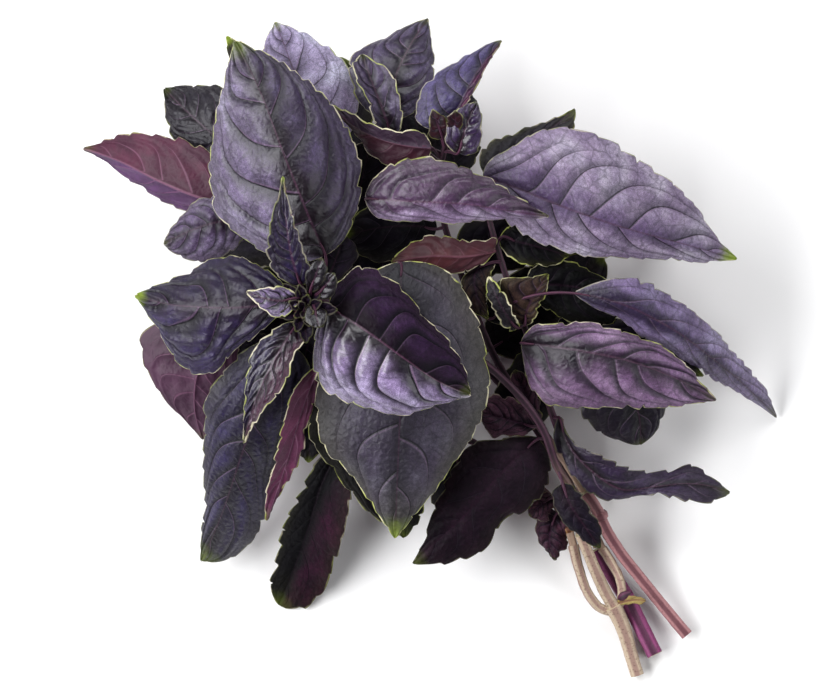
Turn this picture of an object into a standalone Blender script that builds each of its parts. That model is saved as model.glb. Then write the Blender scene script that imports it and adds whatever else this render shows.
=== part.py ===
"""A cut bunch of purple basil lying on its side, seen from above.

Three cut stems run up and to the left into five leafy shoots. Each leaf is a thin toothed blade stretched
between its midrib and its two margins. Lengths are in millimetres until the meshes are made, which are in
metres. The origin is the middle of the footprint, at the height of the surface that the bunch lies on.
"""

import math
from dataclasses import dataclass

import bpy
import numpy as np

MM = 0.001

# Leaf blades
BLADE_THICKNESS = 0.7
RIB_DEPTH = 0.5
TOOTH_DEPTH = 1.3
TOOTH_SHARE = 0.16
BASE_WIDTH = 1.6
TIP_WIDTH = 0.7
SMALL_LEAF_TEETH = 4

# Stems and leaf stalks
PALE_RADIUS = 2.8
PALE_FORK_RADII = {"left": 1.7, "middle": 2.2, "right": 1.6}
MAGENTA_RADIUS = 3.3
PINK_RADIUS = 2.5
SHOOT_RADIUS = 1.6
SHOOT_TIP_RADIUS = 1.1
STALK_RADIUS = 0.85
STALK_SIDES = 4
STALK_RUN_IN = 2.5
STALK_CLEARANCE = 0.2
STALK_SAG = 0.06
STALK_TAPER = 0.7
STEM_SIDES = 8
GROOVE = 0.84
SHARP_ANGLE = math.radians(35)

# Paths of the woody stems, from the cut end upwards
PALE_TRUNK = [(69.3, -109.4, 3.0), (67, -102, 4.3), (65, -95, 6), (61, -86, 9)]
PALE_FORKS = {
    "left": [(62, -88, 8), (57, -87, 9), (53, -82.5, 11), (50, -75, 13), (48, -67, 14)],
    "middle": [(61, -86, 9), (58.5, -81.5, 11), (55, -74, 15), (52.3, -67.5, 17.6), (50, -62, 20)],
    "right": [(62, -88, 8), (64, -83, 9.6), (63.6, -78, 10.8), (61, -72.5, 11.3), (58, -68, 12)],
}
MAGENTA_PATH = [(75.2, -102.6, 4.2), (70.2, -92.5, 3.7), (65.7, -83.5, 3.6), (60.5, -75, 3.6),
                (56, -67, 4.6)]
PINK_PATH = [(85.8, -95.8, 4), (72, -79, 8), (62.5, -66.8, 12), (58.3, -60, 15), (55.3, -53.5, 18),
             (51.5, -48, 20)]


@dataclass
class Leaf:
    """One blade: its midrib and margins as (x, y, z) points from base to tip, and where its stalk starts.

    left and right are as seen from above, walking from base to tip. at is a share of the stem's length. crown
    is how far the blade swells between midrib and margin, as a share of its half width. under marks a leaf that
    shows its lower face, and via holds points of a stalk that takes a path of its own.
    """

    name: str
    at: float
    teeth: int
    rib: list
    left: list
    right: list
    crown: float = 0.12
    under: bool = False
    via: tuple = ()


@dataclass
class Shoot:
    """A leafy stem: its path from the woody stem to the growing tip, and its leaves."""

    name: str
    colour: tuple
    path: list
    leaves: list


FRONT_SHOOT = Shoot(
    "front_shoot",
    (0.10, 0.055, 0.12),
    [(49.8, -61.4, 20.3), (48, -50, 26), (42, -39, 31), (37.5, -27, 36.5), (24, -10, 45), (0, 6, 53),
     (-22, 13, 59), (-37, 16, 70), (-40, 17, 84)],
    [
        Leaf("upright_young", 0.985, 4,
             rib=[(-43, 21, 85), (-46, 30, 90), (-48, 43, 94), (-49, 57, 92)],
             left=[(-51, 24, 88), (-55, 31, 91), (-54, 38, 94), (-53, 44, 96), (-51, 50, 96)],
             right=[(-39, 24, 87), (-41, 30, 91), (-43, 36, 94), (-45, 43, 96), (-48, 52, 95)], crown=-0.1),
        Leaf("folded_young", 0.965, 4,
             rib=[(-44, 9, 82), (-51, -2, 84), (-57, -14, 81), (-62, -31, 72)],
             left=[(-40, 6, 84), (-45, -2, 88), (-48, -12, 89), (-55, -20, 85), (-59, -26, 79)],
             right=[(-50, 8, 83), (-57, 3, 83), (-61, -5, 81), (-62, -14, 79), (-62.5, -22, 76)],
             crown=-0.1),
        Leaf("curled_young", 0.975, 3,
             rib=[(-44, 17, 86), (-50, 16, 88), (-56, 17, 88), (-61, 19, 86)],
             left=[(-46, 12, 87), (-51, 10, 89), (-56, 13, 89)],
             right=[(-47, 20, 87), (-52, 21, 89), (-57, 20, 88)], crown=-0.2),
        Leaf("tip_leaflet_right", 0.99, 3,
             rib=[(-38, 18, 86), (-35, 21, 89), (-32, 25, 91)],
             left=[(-40, 21, 88), (-37, 25, 90)], right=[(-35, 16, 87), (-31, 20, 89)]),
        Leaf("tip_leaflet_low", 0.98, 3,
             rib=[(-39, 15, 85), (-38, 11, 88), (-37, 7, 89)],
             left=[(-36, 14, 86), (-34, 11, 88)], right=[(-42, 13, 87), (-42, 9, 88)]),
        Leaf("tip_leaflet_up", 0.995, 3,
             rib=[(-40, 19, 87), (-38, 25, 91), (-36, 30, 92)],
             left=[(-42, 23, 90), (-40, 28, 92)], right=[(-37, 20, 89), (-34, 26, 91)]),
        Leaf("left_quilted", 0.94, 6,
             rib=[(-47, 16, 76), (-60, 14, 78), (-78, 14, 73), (-88, 15, 68), (-98, 18, 62)],
             left=[(-52, 10, 74), (-58, 4, 72), (-65, -1, 69), (-73, -8, 63), (-81, -8, 60), (-86, -3, 60),
                   (-91.3, 6.5, 61)],
             right=[(-50, 23, 75), (-57, 28, 74), (-66, 31, 70), (-73, 30, 67), (-81, 26, 64),
                    (-90, 22, 62)]),
        Leaf("centre_glossy", 0.95, 7,
             rib=[(-34, 14, 77), (-20, 5, 82), (-9, -3, 82), (3, -11, 78), (13, -15, 73)],
             left=[(-31, 22, 76), (-24, 28, 75), (-17, 26, 75), (-9, 20, 75), (-3, 13, 75), (3, 6, 74),
                   (8, 0, 73), (12, -8, 72.5)],
             right=[(-37, 9, 76), (-39, 2, 75), (-39, -7, 73), (-36, -14, 72), (-26, -19, 72),
                    (-16, -21, 73), (-8, -22, 72), (-2, -20, 72), (6, -18, 72)], crown=0.2),
        Leaf("broad_upright", 0.89, 8,
             rib=[(-35, 31, 72), (-41, 45, 79), (-49, 65, 83), (-57, 86, 81), (-65, 102, 76)],
             left=[(-46, 29, 69), (-56, 32, 66), (-65, 38, 65), (-71, 45, 64), (-74, 60, 66), (-72, 77, 71),
                   (-69, 88, 74)],
             right=[(-28, 38, 70), (-23, 50, 70), (-22.5, 61, 71), (-28, 74, 73), (-37, 86, 75),
                    (-48, 95, 76), (-58, 100, 76)]),
        Leaf("long_drooping", 0.875, 6,
             rib=[(-48, 2, 66), (-57, -18, 57), (-64, -38, 43), (-71, -58, 24), (-77, -71, 10)],
             left=[(-41, -4, 60), (-42, -17, 50), (-48, -32, 40), (-53, -43, 31), (-55.5, -57, 20),
                   (-60, -65, 14), (-68.5, -71, 9)],
             right=[(-58, 2, 62), (-69, -7, 54), (-75, -16, 49), (-76.5, -28, 42), (-76, -40, 33),
                    (-76, -52, 23), (-77.3, -62, 15)]),
        Leaf("magenta_low", 0.86, 4,
             rib=[(-38, -6, 60), (-43, -19, 55), (-48, -36, 48), (-55, -57, 38)],
             left=[(-37, -14, 56), (-41, -26, 52), (-42.3, -34, 48), (-47, -44.5, 43), (-52, -50.5, 40)],
             right=[(-45, -12, 62), (-50, -28, 57), (-53, -39, 51), (-55.5, -48, 44)], under=True),
        Leaf("broad_hanging", 0.8, 7,
             rib=[(-10, 29, 64), (-10, 10, 68), (-10, -14, 66), (-11, -38, 59), (-12, -63, 46)],
             left=[(1, 28, 63), (8, 24, 62), (14, 14, 61), (18, 2, 60), (20, -10, 58), (17, -24, 55),
                   (11, -33, 53), (1, -48, 50)],
             right=[(-22, 24, 62), (-32, 10, 62), (-38, -4, 61), (-39, -17, 59), (-36, -32, 56),
                    (-25, -45, 52), (-18, -55, 49)]),
        Leaf("neck_small", 0.17, 4,
             rib=[(44, -45, 32), (46.5, -52, 33), (50.5, -58, 32), (56.5, -66.5, 28)],
             left=[(50, -47.5, 33), (54, -54, 32.5), (57, -60, 30)],
             right=[(40, -49, 31), (43, -56, 30.5), (49, -63, 28.5)]),
    ],
)

TOP_SHOOT = Shoot(
    "top_shoot",
    (0.12, 0.06, 0.15),
    [(51.1, -47.5, 20.3), (45, -38, 22), (33.5, -22, 23), (22, -4, 25), (12, 20, 31), (4, 44, 42),
     (3, 58, 52), (5, 68, 63)],
    [
        Leaf("rear_spread", 0.93, 5,
             rib=[(-14, 76, 56), (-12, 90, 56), (-7, 101, 52), (-1, 110, 46)],
             left=[(-22, 80, 54), (-27, 88, 54), (-27, 97, 52), (-19, 102, 50), (-10, 107, 47)],
             right=[(-5, 79, 54), (1, 86, 52), (1.5, 95, 50), (0, 103, 48)]),
        Leaf("cupped", 0.965, 4,
             rib=[(-13, 71, 58), (-17, 82, 61), (-20.5, 91, 62), (-23, 98, 61)],
             left=[(-18.5, 74, 60), (-21.7, 83, 63), (-25, 90, 64), (-26.3, 95, 62)],
             right=[(-9.5, 74, 60), (-9.8, 81, 63), (-12, 90, 64), (-19, 96.5, 62)], crown=-0.1),
        Leaf("violet_curved", 0.985, 5,
             rib=[(3, 72, 66), (9, 80, 69), (13.5, 89, 70), (23.3, 102.5, 62)],
             left=[(-5, 76, 66), (-4, 85, 66), (4, 93, 65), (10, 97, 64), (17, 100.5, 63)],
             right=[(7, 76, 69), (12, 81, 71), (15.7, 87.5, 71), (18.7, 94, 69), (22, 98.5, 65)]),
        Leaf("red_reversed", 0.945, 5,
             rib=[(0, 67, 64), (-9, 68, 64), (-21, 72, 63), (-33, 81, 59)],
             left=[(-2, 62, 62), (-9, 60, 61), (-18, 63, 60), (-26, 72, 59)],
             right=[(-4, 73, 66.5), (-12, 72.5, 68), (-20, 75, 67), (-27, 79, 62)], under=True),
        Leaf("quilted_young", 0.975, 4,
             rib=[(9, 65, 67), (11, 72, 70), (15, 82, 71)],
             left=[(5, 68, 69), (5, 74, 71), (9, 80, 72)], right=[(15, 65, 68), (17, 72, 70), (17, 78, 71)],
             crown=0.2),
        Leaf("red_tip_left", 0.992, 3,
             rib=[(4, 70, 67), (2, 75, 71), (0.5, 79.5, 73)],
             left=[(0, 70, 68), (-1, 75, 71)], right=[(6.5, 73, 70), (4.5, 77.5, 72)]),
        Leaf("red_tip_right", 0.998, 3,
             rib=[(6, 71, 67), (8, 75, 73), (8, 79, 76)],
             left=[(5, 74, 71), (5, 77, 74)], right=[(10, 73, 71), (11, 77, 74)]),
        Leaf("crosswise", 0.8, 6,
             rib=[(-22, 50, 65), (-7, 49, 71), (12, 48, 73), (28, 45.5, 71), (39, 44, 68)],
             left=[(-19, 57, 66), (-12, 62.5, 69), (-3, 64, 70), (5, 63, 71), (13, 60, 71), (20, 57, 70),
                   (30, 50, 69)], right=[(-18, 44, 64), (-7, 42, 66), (8, 42, 67), (27, 43, 67)],
             via=((-2, 45, 50), (-14, 47, 58))),
        Leaf("low_dark", 0.15, 6,
             rib=[(36, -30, 27), (24, -41, 30), (11, -56, 30), (-1, -67, 27), (-6, -71.7, 25)],
             left=[(39.5, -36, 26), (39.3, -46, 25), (33, -54, 26), (24, -58.5, 26), (19, -66, 25),
                   (6.5, -72, 24)],
             right=[(31, -29, 28), (22.5, -30, 30), (13, -31.5, 30), (6, -41, 30), (1, -52, 29),
                    (-2, -62, 27)]),
        Leaf("wilted", 0.26, 3,
             rib=[(35, -26, 29), (27, -24, 34), (16, -21, 36)],
             left=[(30, -29, 31), (19, -28, 33)], right=[(31, -19, 33), (20, -15, 37)], crown=0.3),
        Leaf("wilted_tall", 0.22, 3,
             rib=[(36, -24, 28), (32, -16, 31), (28, -7, 33)],
             left=[(31, -20, 30), (26, -12, 33)], right=[(37, -18, 30), (34, -10, 33)], crown=0.3),
        Leaf("inner_middle", 0.6, 3,
             rib=[(9, 32, 35), (20, 35, 37), (36, 36, 34)],
             left=[(10, 41, 36), (21, 45, 37), (32, 43, 34)],
             right=[(14, 23, 35), (24, 25, 36), (34, 29, 34)]),
        Leaf("inner_left", 0.74, 3,
             rib=[(2, 40, 42), (-8, 41, 48), (-28, 38, 48)],
             left=[(-4, 33, 41), (-16, 29, 42), (-25, 32, 44)],
             right=[(-2, 48, 45), (-13, 51, 48), (-24, 46, 48)]),
        Leaf("inner_right", 0.52, 3,
             rib=[(19, 10, 29), (34, 18, 33), (54, 24, 28)],
             left=[(20, 20, 30), (32, 28, 31), (46, 29, 28)],
             right=[(27, 7, 29), (41, 8, 30), (52, 16, 27)]),
        Leaf("inner_rear", 0.84, 3,
             rib=[(7, 56, 43), (8, 68, 38), (9, 80, 30), (12, 90, 18)],
             left=[(0, 62, 40), (-1, 74, 34), (4, 86, 22)],
             right=[(15, 62, 40), (17, 72, 33), (15, 83, 22)]),
        Leaf("inner_rear_left", 0.79, 3,
             rib=[(0, 57, 39), (-4, 72, 34), (-8, 91, 18)],
             left=[(-9, 63, 38), (-15, 77, 30), (-14, 88, 20)],
             right=[(7, 65, 34), (3, 79, 25), (-2, 90, 18)]),
    ],
)

RIGHT_SHOOT = Shoot(
    "right_shoot",
    (0.13, 0.09, 0.15),
    [(57.6, -67.3, 12.1), (56, -64, 12), (53, -57, 10.5), (50, -46, 11), (46, -36, 16.5), (40, -20, 26),
     (34, 0, 37), (28.5, 14, 43), (22, 34, 47), (17, 52, 51)],
    [
        Leaf("long_mauve", 0.99, 8,
             rib=[(17, 57, 57), (27, 54, 60), (42, 48, 62), (62, 41, 60), (84, 35, 52), (102, 30, 42)],
             left=[(19, 62, 58), (26, 67, 59), (34, 72, 58), (43, 74, 57), (53, 72, 56), (63, 68, 54),
                   (72, 62, 52), (79, 57, 50), (87, 49, 47), (95, 38, 44)],
             right=[(22, 48, 57), (26, 41, 57), (33, 36, 57), (45, 32, 56), (60, 30, 54), (77, 29.5, 49),
                    (94, 29, 44)]),
        Leaf("behind_mauve", 0.96, 4,
             rib=[(18, 58, 48), (27, 65, 46), (38, 72, 44), (48, 80, 42)],
             left=[(16, 63, 48), (18.5, 69, 46), (27, 72, 44), (38.5, 76.5, 43)],
             right=[(27, 59, 48), (39, 64, 46), (47.5, 72, 43)]),
        Leaf("black_green", 0.86, 4,
             rib=[(23, 37, 48), (32, 35, 49), (46, 31, 45)],
             left=[(27, 42, 48), (36, 42, 47), (43, 37, 45)],
             right=[(25, 31, 48), (31, 28, 48), (40, 27.5, 46)]),
        Leaf("red_middle", 0.89, 5,
             rib=[(21, 33, 52), (12, 31, 55), (0, 31, 55), (-13, 29, 52)],
             left=[(17, 28, 52), (9, 25, 52), (-2, 24, 51), (-9, 26, 50)],
             right=[(22, 36.5, 54), (14, 36.5, 55), (6, 37.5, 55), (1, 38.5, 54), (-8, 35, 53)], under=True),
        Leaf("olive_middle", 0.82, 4,
             rib=[(21, 29, 49), (15, 26, 50), (15, 19, 51), (19, 10, 50)],
             left=[(21, 27, 49), (20, 22, 50), (19, 16, 50)],
             right=[(12, 25, 48), (9, 20, 49), (13, 13, 49)]),
        Leaf("olive_upright", 0.67, 4,
             rib=[(31, 8, 44), (32, 13, 49), (35, 19, 53), (39, 25, 54)],
             left=[(27, 10, 46), (22, 18, 50), (24, 24, 53), (30, 24, 54)],
             right=[(34, 9, 47), (37, 15, 51), (39, 20, 53)]),
        Leaf("narrow_middle", 0.65, 3,
             rib=[(29, 7, 45), (26, 10, 50), (22, 17, 54), (19, 24, 54)],
             left=[(25, 6, 48), (21, 12, 52), (18, 19, 54)],
             right=[(28, 12, 52), (25, 18, 55), (21, 23, 55)], crown=-0.1),
        Leaf("long_edge_on", 0.72, 7,
             rib=[(48, 18.5, 55), (63, 15, 57), (78, 8, 51), (95, -4, 34), (107, -14, 17), (116, -23, 1.5)],
             left=[(55, 22, 56), (64, 24, 56), (72, 23, 54), (81, 17.5, 50), (91, 9.5, 41),
                   (100.7, 0.5, 28), (109, -9, 15), (114, -17, 5)],
             right=[(56, 13, 52), (63, 10, 49), (70, 4.5, 45), (80, -1.5, 39), (91, -8.5, 27),
                    (102, -14, 15), (111, -19.5, 4)], via=((26, 15, 48), (31, 17, 52), (38, 18.5, 54))),
        Leaf("right_glossy", 0.6, 6,
             rib=[(30, 2, 44), (39, 1, 49), (52, -1, 53), (66, -4, 52), (82, -10, 48), (95, -17, 43)],
             left=[(34, 7.5, 46), (43, 9, 49), (53, 9.5, 50), (65, 6, 50), (77, 1, 48), (86, -6, 46)],
             right=[(31, -5, 43), (33, -13, 43), (38, -18, 43), (49, -20, 44), (58, -20, 45),
                    (70, -20.5, 45), (84, -19, 44)], crown=0.16),
        Leaf("small_dark", 0.54, 5,
             rib=[(57, -3, 35), (65, -10, 33), (69, -20, 28), (70, -32, 20)],
             left=[(66, -1, 34), (76, -8, 31), (79, -18, 27), (75, -28, 22)],
             right=[(56, -10, 34), (49.5, -19.5, 30), (55, -27.5, 25), (63, -31, 22)]),
        Leaf("wavy_low", 0.38, 6,
             rib=[(43, -23, 30), (46, -32, 31), (54, -41, 30), (64, -47, 28), (75, -46, 26), (87, -45, 24),
                  (100, -48, 20)],
             left=[(44.5, -26, 31), (48.5, -31.5, 33), (56, -34.5, 34), (65, -38.7, 32), (74, -40.5, 25),
                   (81, -39.7, 21), (88, -38.7, 21), (93, -42, 21)],
             right=[(41, -30, 30), (47, -43, 29), (56, -50, 27), (66, -50, 24), (76, -49, 28),
                    (83, -51, 29), (93, -52, 25)]),
        Leaf("shade_leaf", 0.76, 3,
             rib=[(32, 21, 44), (46, 21, 45), (64, 15, 40)],
             left=[(34, 28, 44), (43, 30, 44), (52, 27, 43), (60, 22, 41)],
             right=[(37, 14, 42), (49, 8, 40), (60, 8, 39)]),
        Leaf("shade_right", 0.58, 3,
             rib=[(52, 2, 38), (64, 4, 38), (78, -2, 35), (91, -9, 30)],
             left=[(56, 10, 38), (66, 10.5, 38), (78, 5, 35)],
             right=[(56, -4, 38), (68, -5, 37), (80, -9, 33)]),
        Leaf("inner_low", 0.50, 3,
             rib=[(46, -11, 28), (56, -14, 24), (70, -12, 14), (84, -8, 2)],
             left=[(50, -3, 27), (62, 0, 22), (76, 0, 10)],
             right=[(50, -20, 24), (62, -24, 17), (77, -18, 6)]),
        Leaf("inner_far", 0.74, 3,
             rib=[(42, 31, 38), (60, 38, 30), (80, 45, 14)],
             left=[(44, 40, 38), (60, 50, 29), (74, 54, 17)],
             right=[(52, 32, 35), (68, 34, 25), (79, 39, 14)]),
    ],
)

LEFT_SHOOT = Shoot(
    "left_shoot",
    (0.09, 0.05, 0.10),
    [(47.9, -66.6, 14.1), (43, -54, 12), (30, -41, 14), (8, -28, 18), (-15, -17, 24), (-36, -6, 30),
     (-54, 4, 36)],
    [
        Leaf("behind_hanging", 0.66, 6,
             rib=[(-19, -4, 38), (-20, -20, 44), (-17, -40, 42), (-9, -63, 33)],
             left=[(-10, -8, 40), (-3, -22, 42), (0, -36, 40), (-1, -50, 37), (-4, -58, 35)],
             right=[(-30, -6, 40), (-40, -16, 42), (-41, -29, 40), (-35, -39, 38), (-26.3, -49, 36),
                    (-19, -56, 34)]),
        Leaf("red_hidden", 0.975, 5,
             rib=[(-65, 4, 45), (-76, -4, 46), (-79, -17, 40), (-76, -30, 34)],
             left=[(-64, -6, 43), (-68, -17, 39), (-70, -27, 35)],
             right=[(-77, 13, 45), (-90, 10, 45), (-97, 5, 44), (-96, -5, 42), (-91.5, -13, 39),
                    (-85, -21, 36)], under=True),
        Leaf("bottom_folded", 0.6, 6,
             rib=[(-29, -31, 29), (-36, -44, 26), (-41, -60, 17), (-46, -74, 7), (-51, -86, 1)],
             left=[(-25, -38, 30), (-26.3, -49, 32), (-28.5, -60, 25), (-32, -72, 14), (-37, -83, 5),
                   (-44, -88, 1)],
             right=[(-37, -36, 27), (-44, -47, 23), (-50, -60, 14), (-53, -72, 7), (-54, -81, 2)]),
        Leaf("wilted_small", 0.09, 3,
             rib=[(43, -55, 13), (40, -61, 15), (41.5, -70.5, 11)],
             left=[(46, -60, 14), (45, -67, 12)], right=[(36, -52.5, 14), (34.5, -58, 14), (38, -66, 11)],
             crown=0.3),
        Leaf("wilted_high", 0.13, 3,
             rib=[(41, -50, 14), (37, -52, 18), (33, -56, 18)],
             left=[(41, -54, 16), (37, -58, 17)], right=[(38, -48, 17), (34, -51, 18)], crown=0.3),
        Leaf("inner_gap", 0.84, 3,
             rib=[(-35, -10, 31), (-39, -24, 32), (-41, -38, 30)],
             left=[(-33, -18, 31), (-35, -33, 31)], right=[(-44, -18, 33), (-46, -33, 30)]),
        Leaf("inner_rosette", 0.93, 3,
             rib=[(-48, 4, 36), (-51, 15, 39), (-52, 28, 40)],
             left=[(-58, 5, 36), (-63, 15, 38), (-60, 25, 40)],
             right=[(-41, 5, 37), (-38, 16, 39), (-44, 26, 40)]),
        Leaf("inner_centre", 0.8, 3,
             rib=[(-31, 2, 33), (-22, 13, 37), (-8, 32, 33)],
             left=[(-37, 8, 33), (-37, 24, 34), (-24, 36, 33)],
             right=[(-20, 0, 33), (-8, 10, 34), (-3, 24, 32)]),
        Leaf("inner_side", 0.99, 3,
             rib=[(-59, 9, 34), (-70, 14, 28), (-84, 14, 16)],
             left=[(-64, 3, 32), (-74, 2, 24), (-82, 6, 17)],
             right=[(-60, 18, 32), (-70, 24, 26), (-80, 22, 18)]),
        Leaf("inner_below", 0.42, 3,
             rib=[(9, -34, 18), (9, -45, 15), (8, -60, 3)],
             left=[(17, -39, 16), (17, -51, 9)], right=[(1, -38, 17), (0, -50, 10)]),
        Leaf("inner_front_low", 0.57, 3,
             rib=[(-10, -28, 21), (-13, -41, 15), (-13, -57, 3)],
             left=[(-3, -35, 19), (-4, -48, 10)], right=[(-20, -32, 18), (-24, -43, 11), (-20, -53, 5)]),
        Leaf("inner_left_low", 0.90, 3,
             rib=[(-50, -8, 29), (-59, -21, 21), (-68, -37, 7)],
             left=[(-46, -17, 26), (-52, -29, 17), (-61, -38, 8)],
             right=[(-58, -3, 27), (-69, -14, 19), (-73, -28, 10)]),
    ],
)

BACK_SHOOT = Shoot(
    "back_shoot",
    (0.11, 0.06, 0.12),
    [(55.8, -66.6, 4.6), (50, -52, 5), (36, -28, 7), (12, 0, 10), (-12, 20, 16), (-34, 40, 28),
     (-46, 54, 40)],
    [
        Leaf("pale_rear", 0.965, 6,
             rib=[(-38, 64, 48), (-42, 78, 50), (-47, 96, 46), (-52, 109, 40)],
             left=[(-46, 66, 48), (-54, 78, 48), (-57, 90, 46), (-56, 101, 42)],
             right=[(-29, 68, 47), (-24, 78, 47), (-25, 90, 45), (-32, 99, 43), (-42, 106, 41)]),
        Leaf("dark_corner", 0.99, 5,
             rib=[(-56, 60, 40), (-67, 67, 40), (-79, 77, 36), (-89, 87, 28)],
             left=[(-63, 55, 38), (-77.5, 60.5, 36), (-87, 71, 33), (-89, 80, 30)],
             right=[(-55, 68, 41), (-60, 81, 38), (-71, 88, 34), (-81, 88.5, 30)]),
        Leaf("magenta_side", 0.98, 6,
             rib=[(-62, 47, 46), (-78, 51, 47), (-90, 56, 44), (-104, 63, 36), (-116, 67, 27)],
             left=[(-70, 43, 45), (-80, 45, 42), (-88, 48.5, 39), (-96, 52.5, 36), (-103, 58, 31),
                   (-109, 63, 28)],
             right=[(-65, 56, 48), (-72, 65, 48), (-82, 70.5, 46), (-92, 72, 42), (-101, 72.3, 37),
                    (-109, 70, 31)], under=True),
        Leaf("slate_side", 0.95, 5,
             rib=[(-62, 43, 54), (-72, 42, 56), (-81, 39, 53), (-89, 35, 48)],
             left=[(-63, 36, 52), (-69, 30.5, 50), (-76, 29, 49), (-84, 30.5, 48)],
             right=[(-65, 49, 55), (-75, 51, 54), (-82, 46, 51), (-87, 40, 49)]),
        Leaf("green_tip", 0.975, 4,
             rib=[(-50, 66, 50), (-55, 78, 58), (-61, 92, 60), (-68, 104, 58)],
             left=[(-58, 68, 50), (-65, 78, 55), (-67.3, 89, 58), (-68, 97.5, 58)],
             right=[(-46, 74, 54), (-49, 86, 59), (-56, 97, 61), (-62, 102, 60)]),
        Leaf("inner_up", 0.8, 3,
             rib=[(-27, 37, 26), (-24, 52, 34), (-20, 70, 34)],
             left=[(-34, 44, 27), (-34, 57, 32), (-26, 68, 34)],
             right=[(-18, 42, 28), (-11, 54, 34), (-13, 66, 34)]),
        Leaf("inner_neck", 0.3, 3,
             rib=[(27, -25, 13), (33, -15, 16), (40, -3, 16)],
             left=[(21, -17, 15), (25, -7, 17), (34, 2, 16)],
             right=[(34, -27, 14), (43, -17, 15), (46, -6, 15)]),
        Leaf("pressed_front", 0.52, 3,
             rib=[(5, 2, 5), (-6, -8, 1), (-22, -20, 0.4), (-40, -33, 0.4)],
             left=[(4, -8, 3), (-4, -22, 0.4), (-20, -33, 0.4), (-34, -37, 0.4)],
             right=[(-4, 6, 4), (-18, 0, 1), (-32, -10, 0.4), (-40, -22, 0.4)], crown=0.0),
        Leaf("pressed_right", 0.46, 3,
             rib=[(20, 0, 6), (32, 8, 3), (47, 20, 0.4), (58, 32, 0.4)],
             left=[(18, 10, 4), (26, 22, 1), (40, 32, 0.4), (52, 35, 0.4)],
             right=[(30, -4, 4), (43, 1, 1), (56, 12, 0.4), (60, 23, 0.4)], crown=0.0),
        Leaf("pressed_left", 0.86, 3,
             rib=[(-38, 40, 22), (-52, 41, 14), (-66, 41, 5), (-84, 42, 0.4)],
             left=[(-42, 32, 18), (-55, 27, 9), (-70, 30, 2), (-80, 35, 0.4)],
             right=[(-43, 50, 18), (-55, 55, 10), (-70, 55, 3), (-80, 49, 0.4)]),
        Leaf("inner_back_left", 0.93, 4,
             rib=[(-50, 57, 31), (-65, 63, 23), (-83, 71, 7)],
             left=[(-56, 50, 30), (-70, 53, 19), (-83, 61, 8)],
             right=[(-57, 67, 29), (-70, 76, 19), (-81, 80, 8)]),
        Leaf("pressed_rear", 0.9, 4,
             rib=[(-36, 50, 24), (-36, 64, 16), (-34, 80, 6), (-30, 98, 0.4)],
             left=[(-46, 54, 20), (-51, 68, 11), (-46, 84, 2), (-38, 94, 0.4)],
             right=[(-26, 54, 20), (-20, 68, 11), (-19, 82, 2), (-22, 92, 0.4)]),
    ],
)

SHOOTS = [FRONT_SHOOT, TOP_SHOOT, RIGHT_SHOOT, LEFT_SHOOT, BACK_SHOOT]

# The dry bract that still clings to the fork of the pale stem
BRACT = Leaf("bract", 0.0, 3,
             rib=[(62.5, -85.5, 10.5), (67, -84.2, 12.5), (72, -84.3, 13)],
             left=[(66.5, -82.5, 12.6), (70.5, -83, 13)], right=[(66.5, -85.7, 12.3), (70.5, -85.7, 13)])


def smooth(points, shares):
    """Points at these shares of the length of a smooth curve through the given points."""
    points = np.array(points, float)
    knots = np.concatenate([[0], np.cumsum(np.linalg.norm(np.diff(points, axis=0), axis=1))])
    slopes = np.gradient(points, knots, axis=0, edge_order=1 if len(points) < 3 else 2)
    fine = np.linspace(0, knots[-1], 16 * len(points))
    span = np.clip(np.searchsorted(knots, fine, side="right") - 1, 0, len(points) - 2)
    width = (knots[span + 1] - knots[span])[:, None]
    u = (fine[:, None] - knots[span][:, None]) / width
    curve = (
        (2 * u**3 - 3 * u**2 + 1) * points[span]
        + (u**3 - 2 * u**2 + u) * width * slopes[span]
        + (3 * u**2 - 2 * u**3) * points[span + 1]
        + (u**3 - u**2) * width * slopes[span + 1]
    )
    length = np.concatenate([[0], np.cumsum(np.linalg.norm(np.diff(curve, axis=0), axis=1))])
    wanted = np.asarray(shares) * length[-1]
    return np.stack([np.interp(wanted, length, curve[:, axis]) for axis in range(3)], axis=1)


def margin(leaf, points, shares):
    """One edge of a blade, from beside its base to beside its tip."""
    rib = np.array(leaf.rib, float)
    out = np.array(points, float)
    start = rib[0] + sideways(out[0] - rib[0], rib[1] - rib[0]) * BASE_WIDTH / 2
    end = rib[-1] + sideways(out[-1] - rib[-1], rib[-1] - rib[-2]) * TIP_WIDTH / 2
    return smooth([start, *out, end], shares)


def unit(vector):
    return vector / np.linalg.norm(vector, axis=-1, keepdims=True)


def sideways(vector, along):
    """The direction of vector, square to along."""
    along = unit(along)
    return unit(vector - along * np.dot(vector, along))


def leaf_surface(leaf, shares, across):
    """Middle surface of a blade: rows from base to tip, columns from its left margin to its right one."""
    rib = smooth(leaf.rib, shares)
    surface = np.zeros((len(shares), len(across), 3))
    along = unit(np.gradient(rib, axis=0))
    for points, side in ((leaf.left, -1), (leaf.right, 1)):
        edge = margin(leaf, points, shares)
        half = edge - rib
        swell = unit(np.cross(half * side, along)) * np.linalg.norm(half, axis=1)[:, None]
        for column, place in enumerate(across):
            if place * side >= 0:
                reach = abs(place)
                surface[:, column] = rib + half * reach + swell * leaf.crown * 4 * reach * (1 - reach) / 2
    return surface


def cut_teeth(surface):
    """Draws every second row of both margins in towards the midrib, which leaves a row of forward teeth."""
    middle = surface.shape[1] // 2
    for column in (0, -1):
        half = surface[:, middle] - surface[:, column]
        depth = np.minimum(TOOTH_DEPTH, TOOTH_SHARE * np.linalg.norm(half, axis=1))
        surface[1::2, column] += (unit(half) * depth[:, None])[1::2]
    return surface


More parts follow.
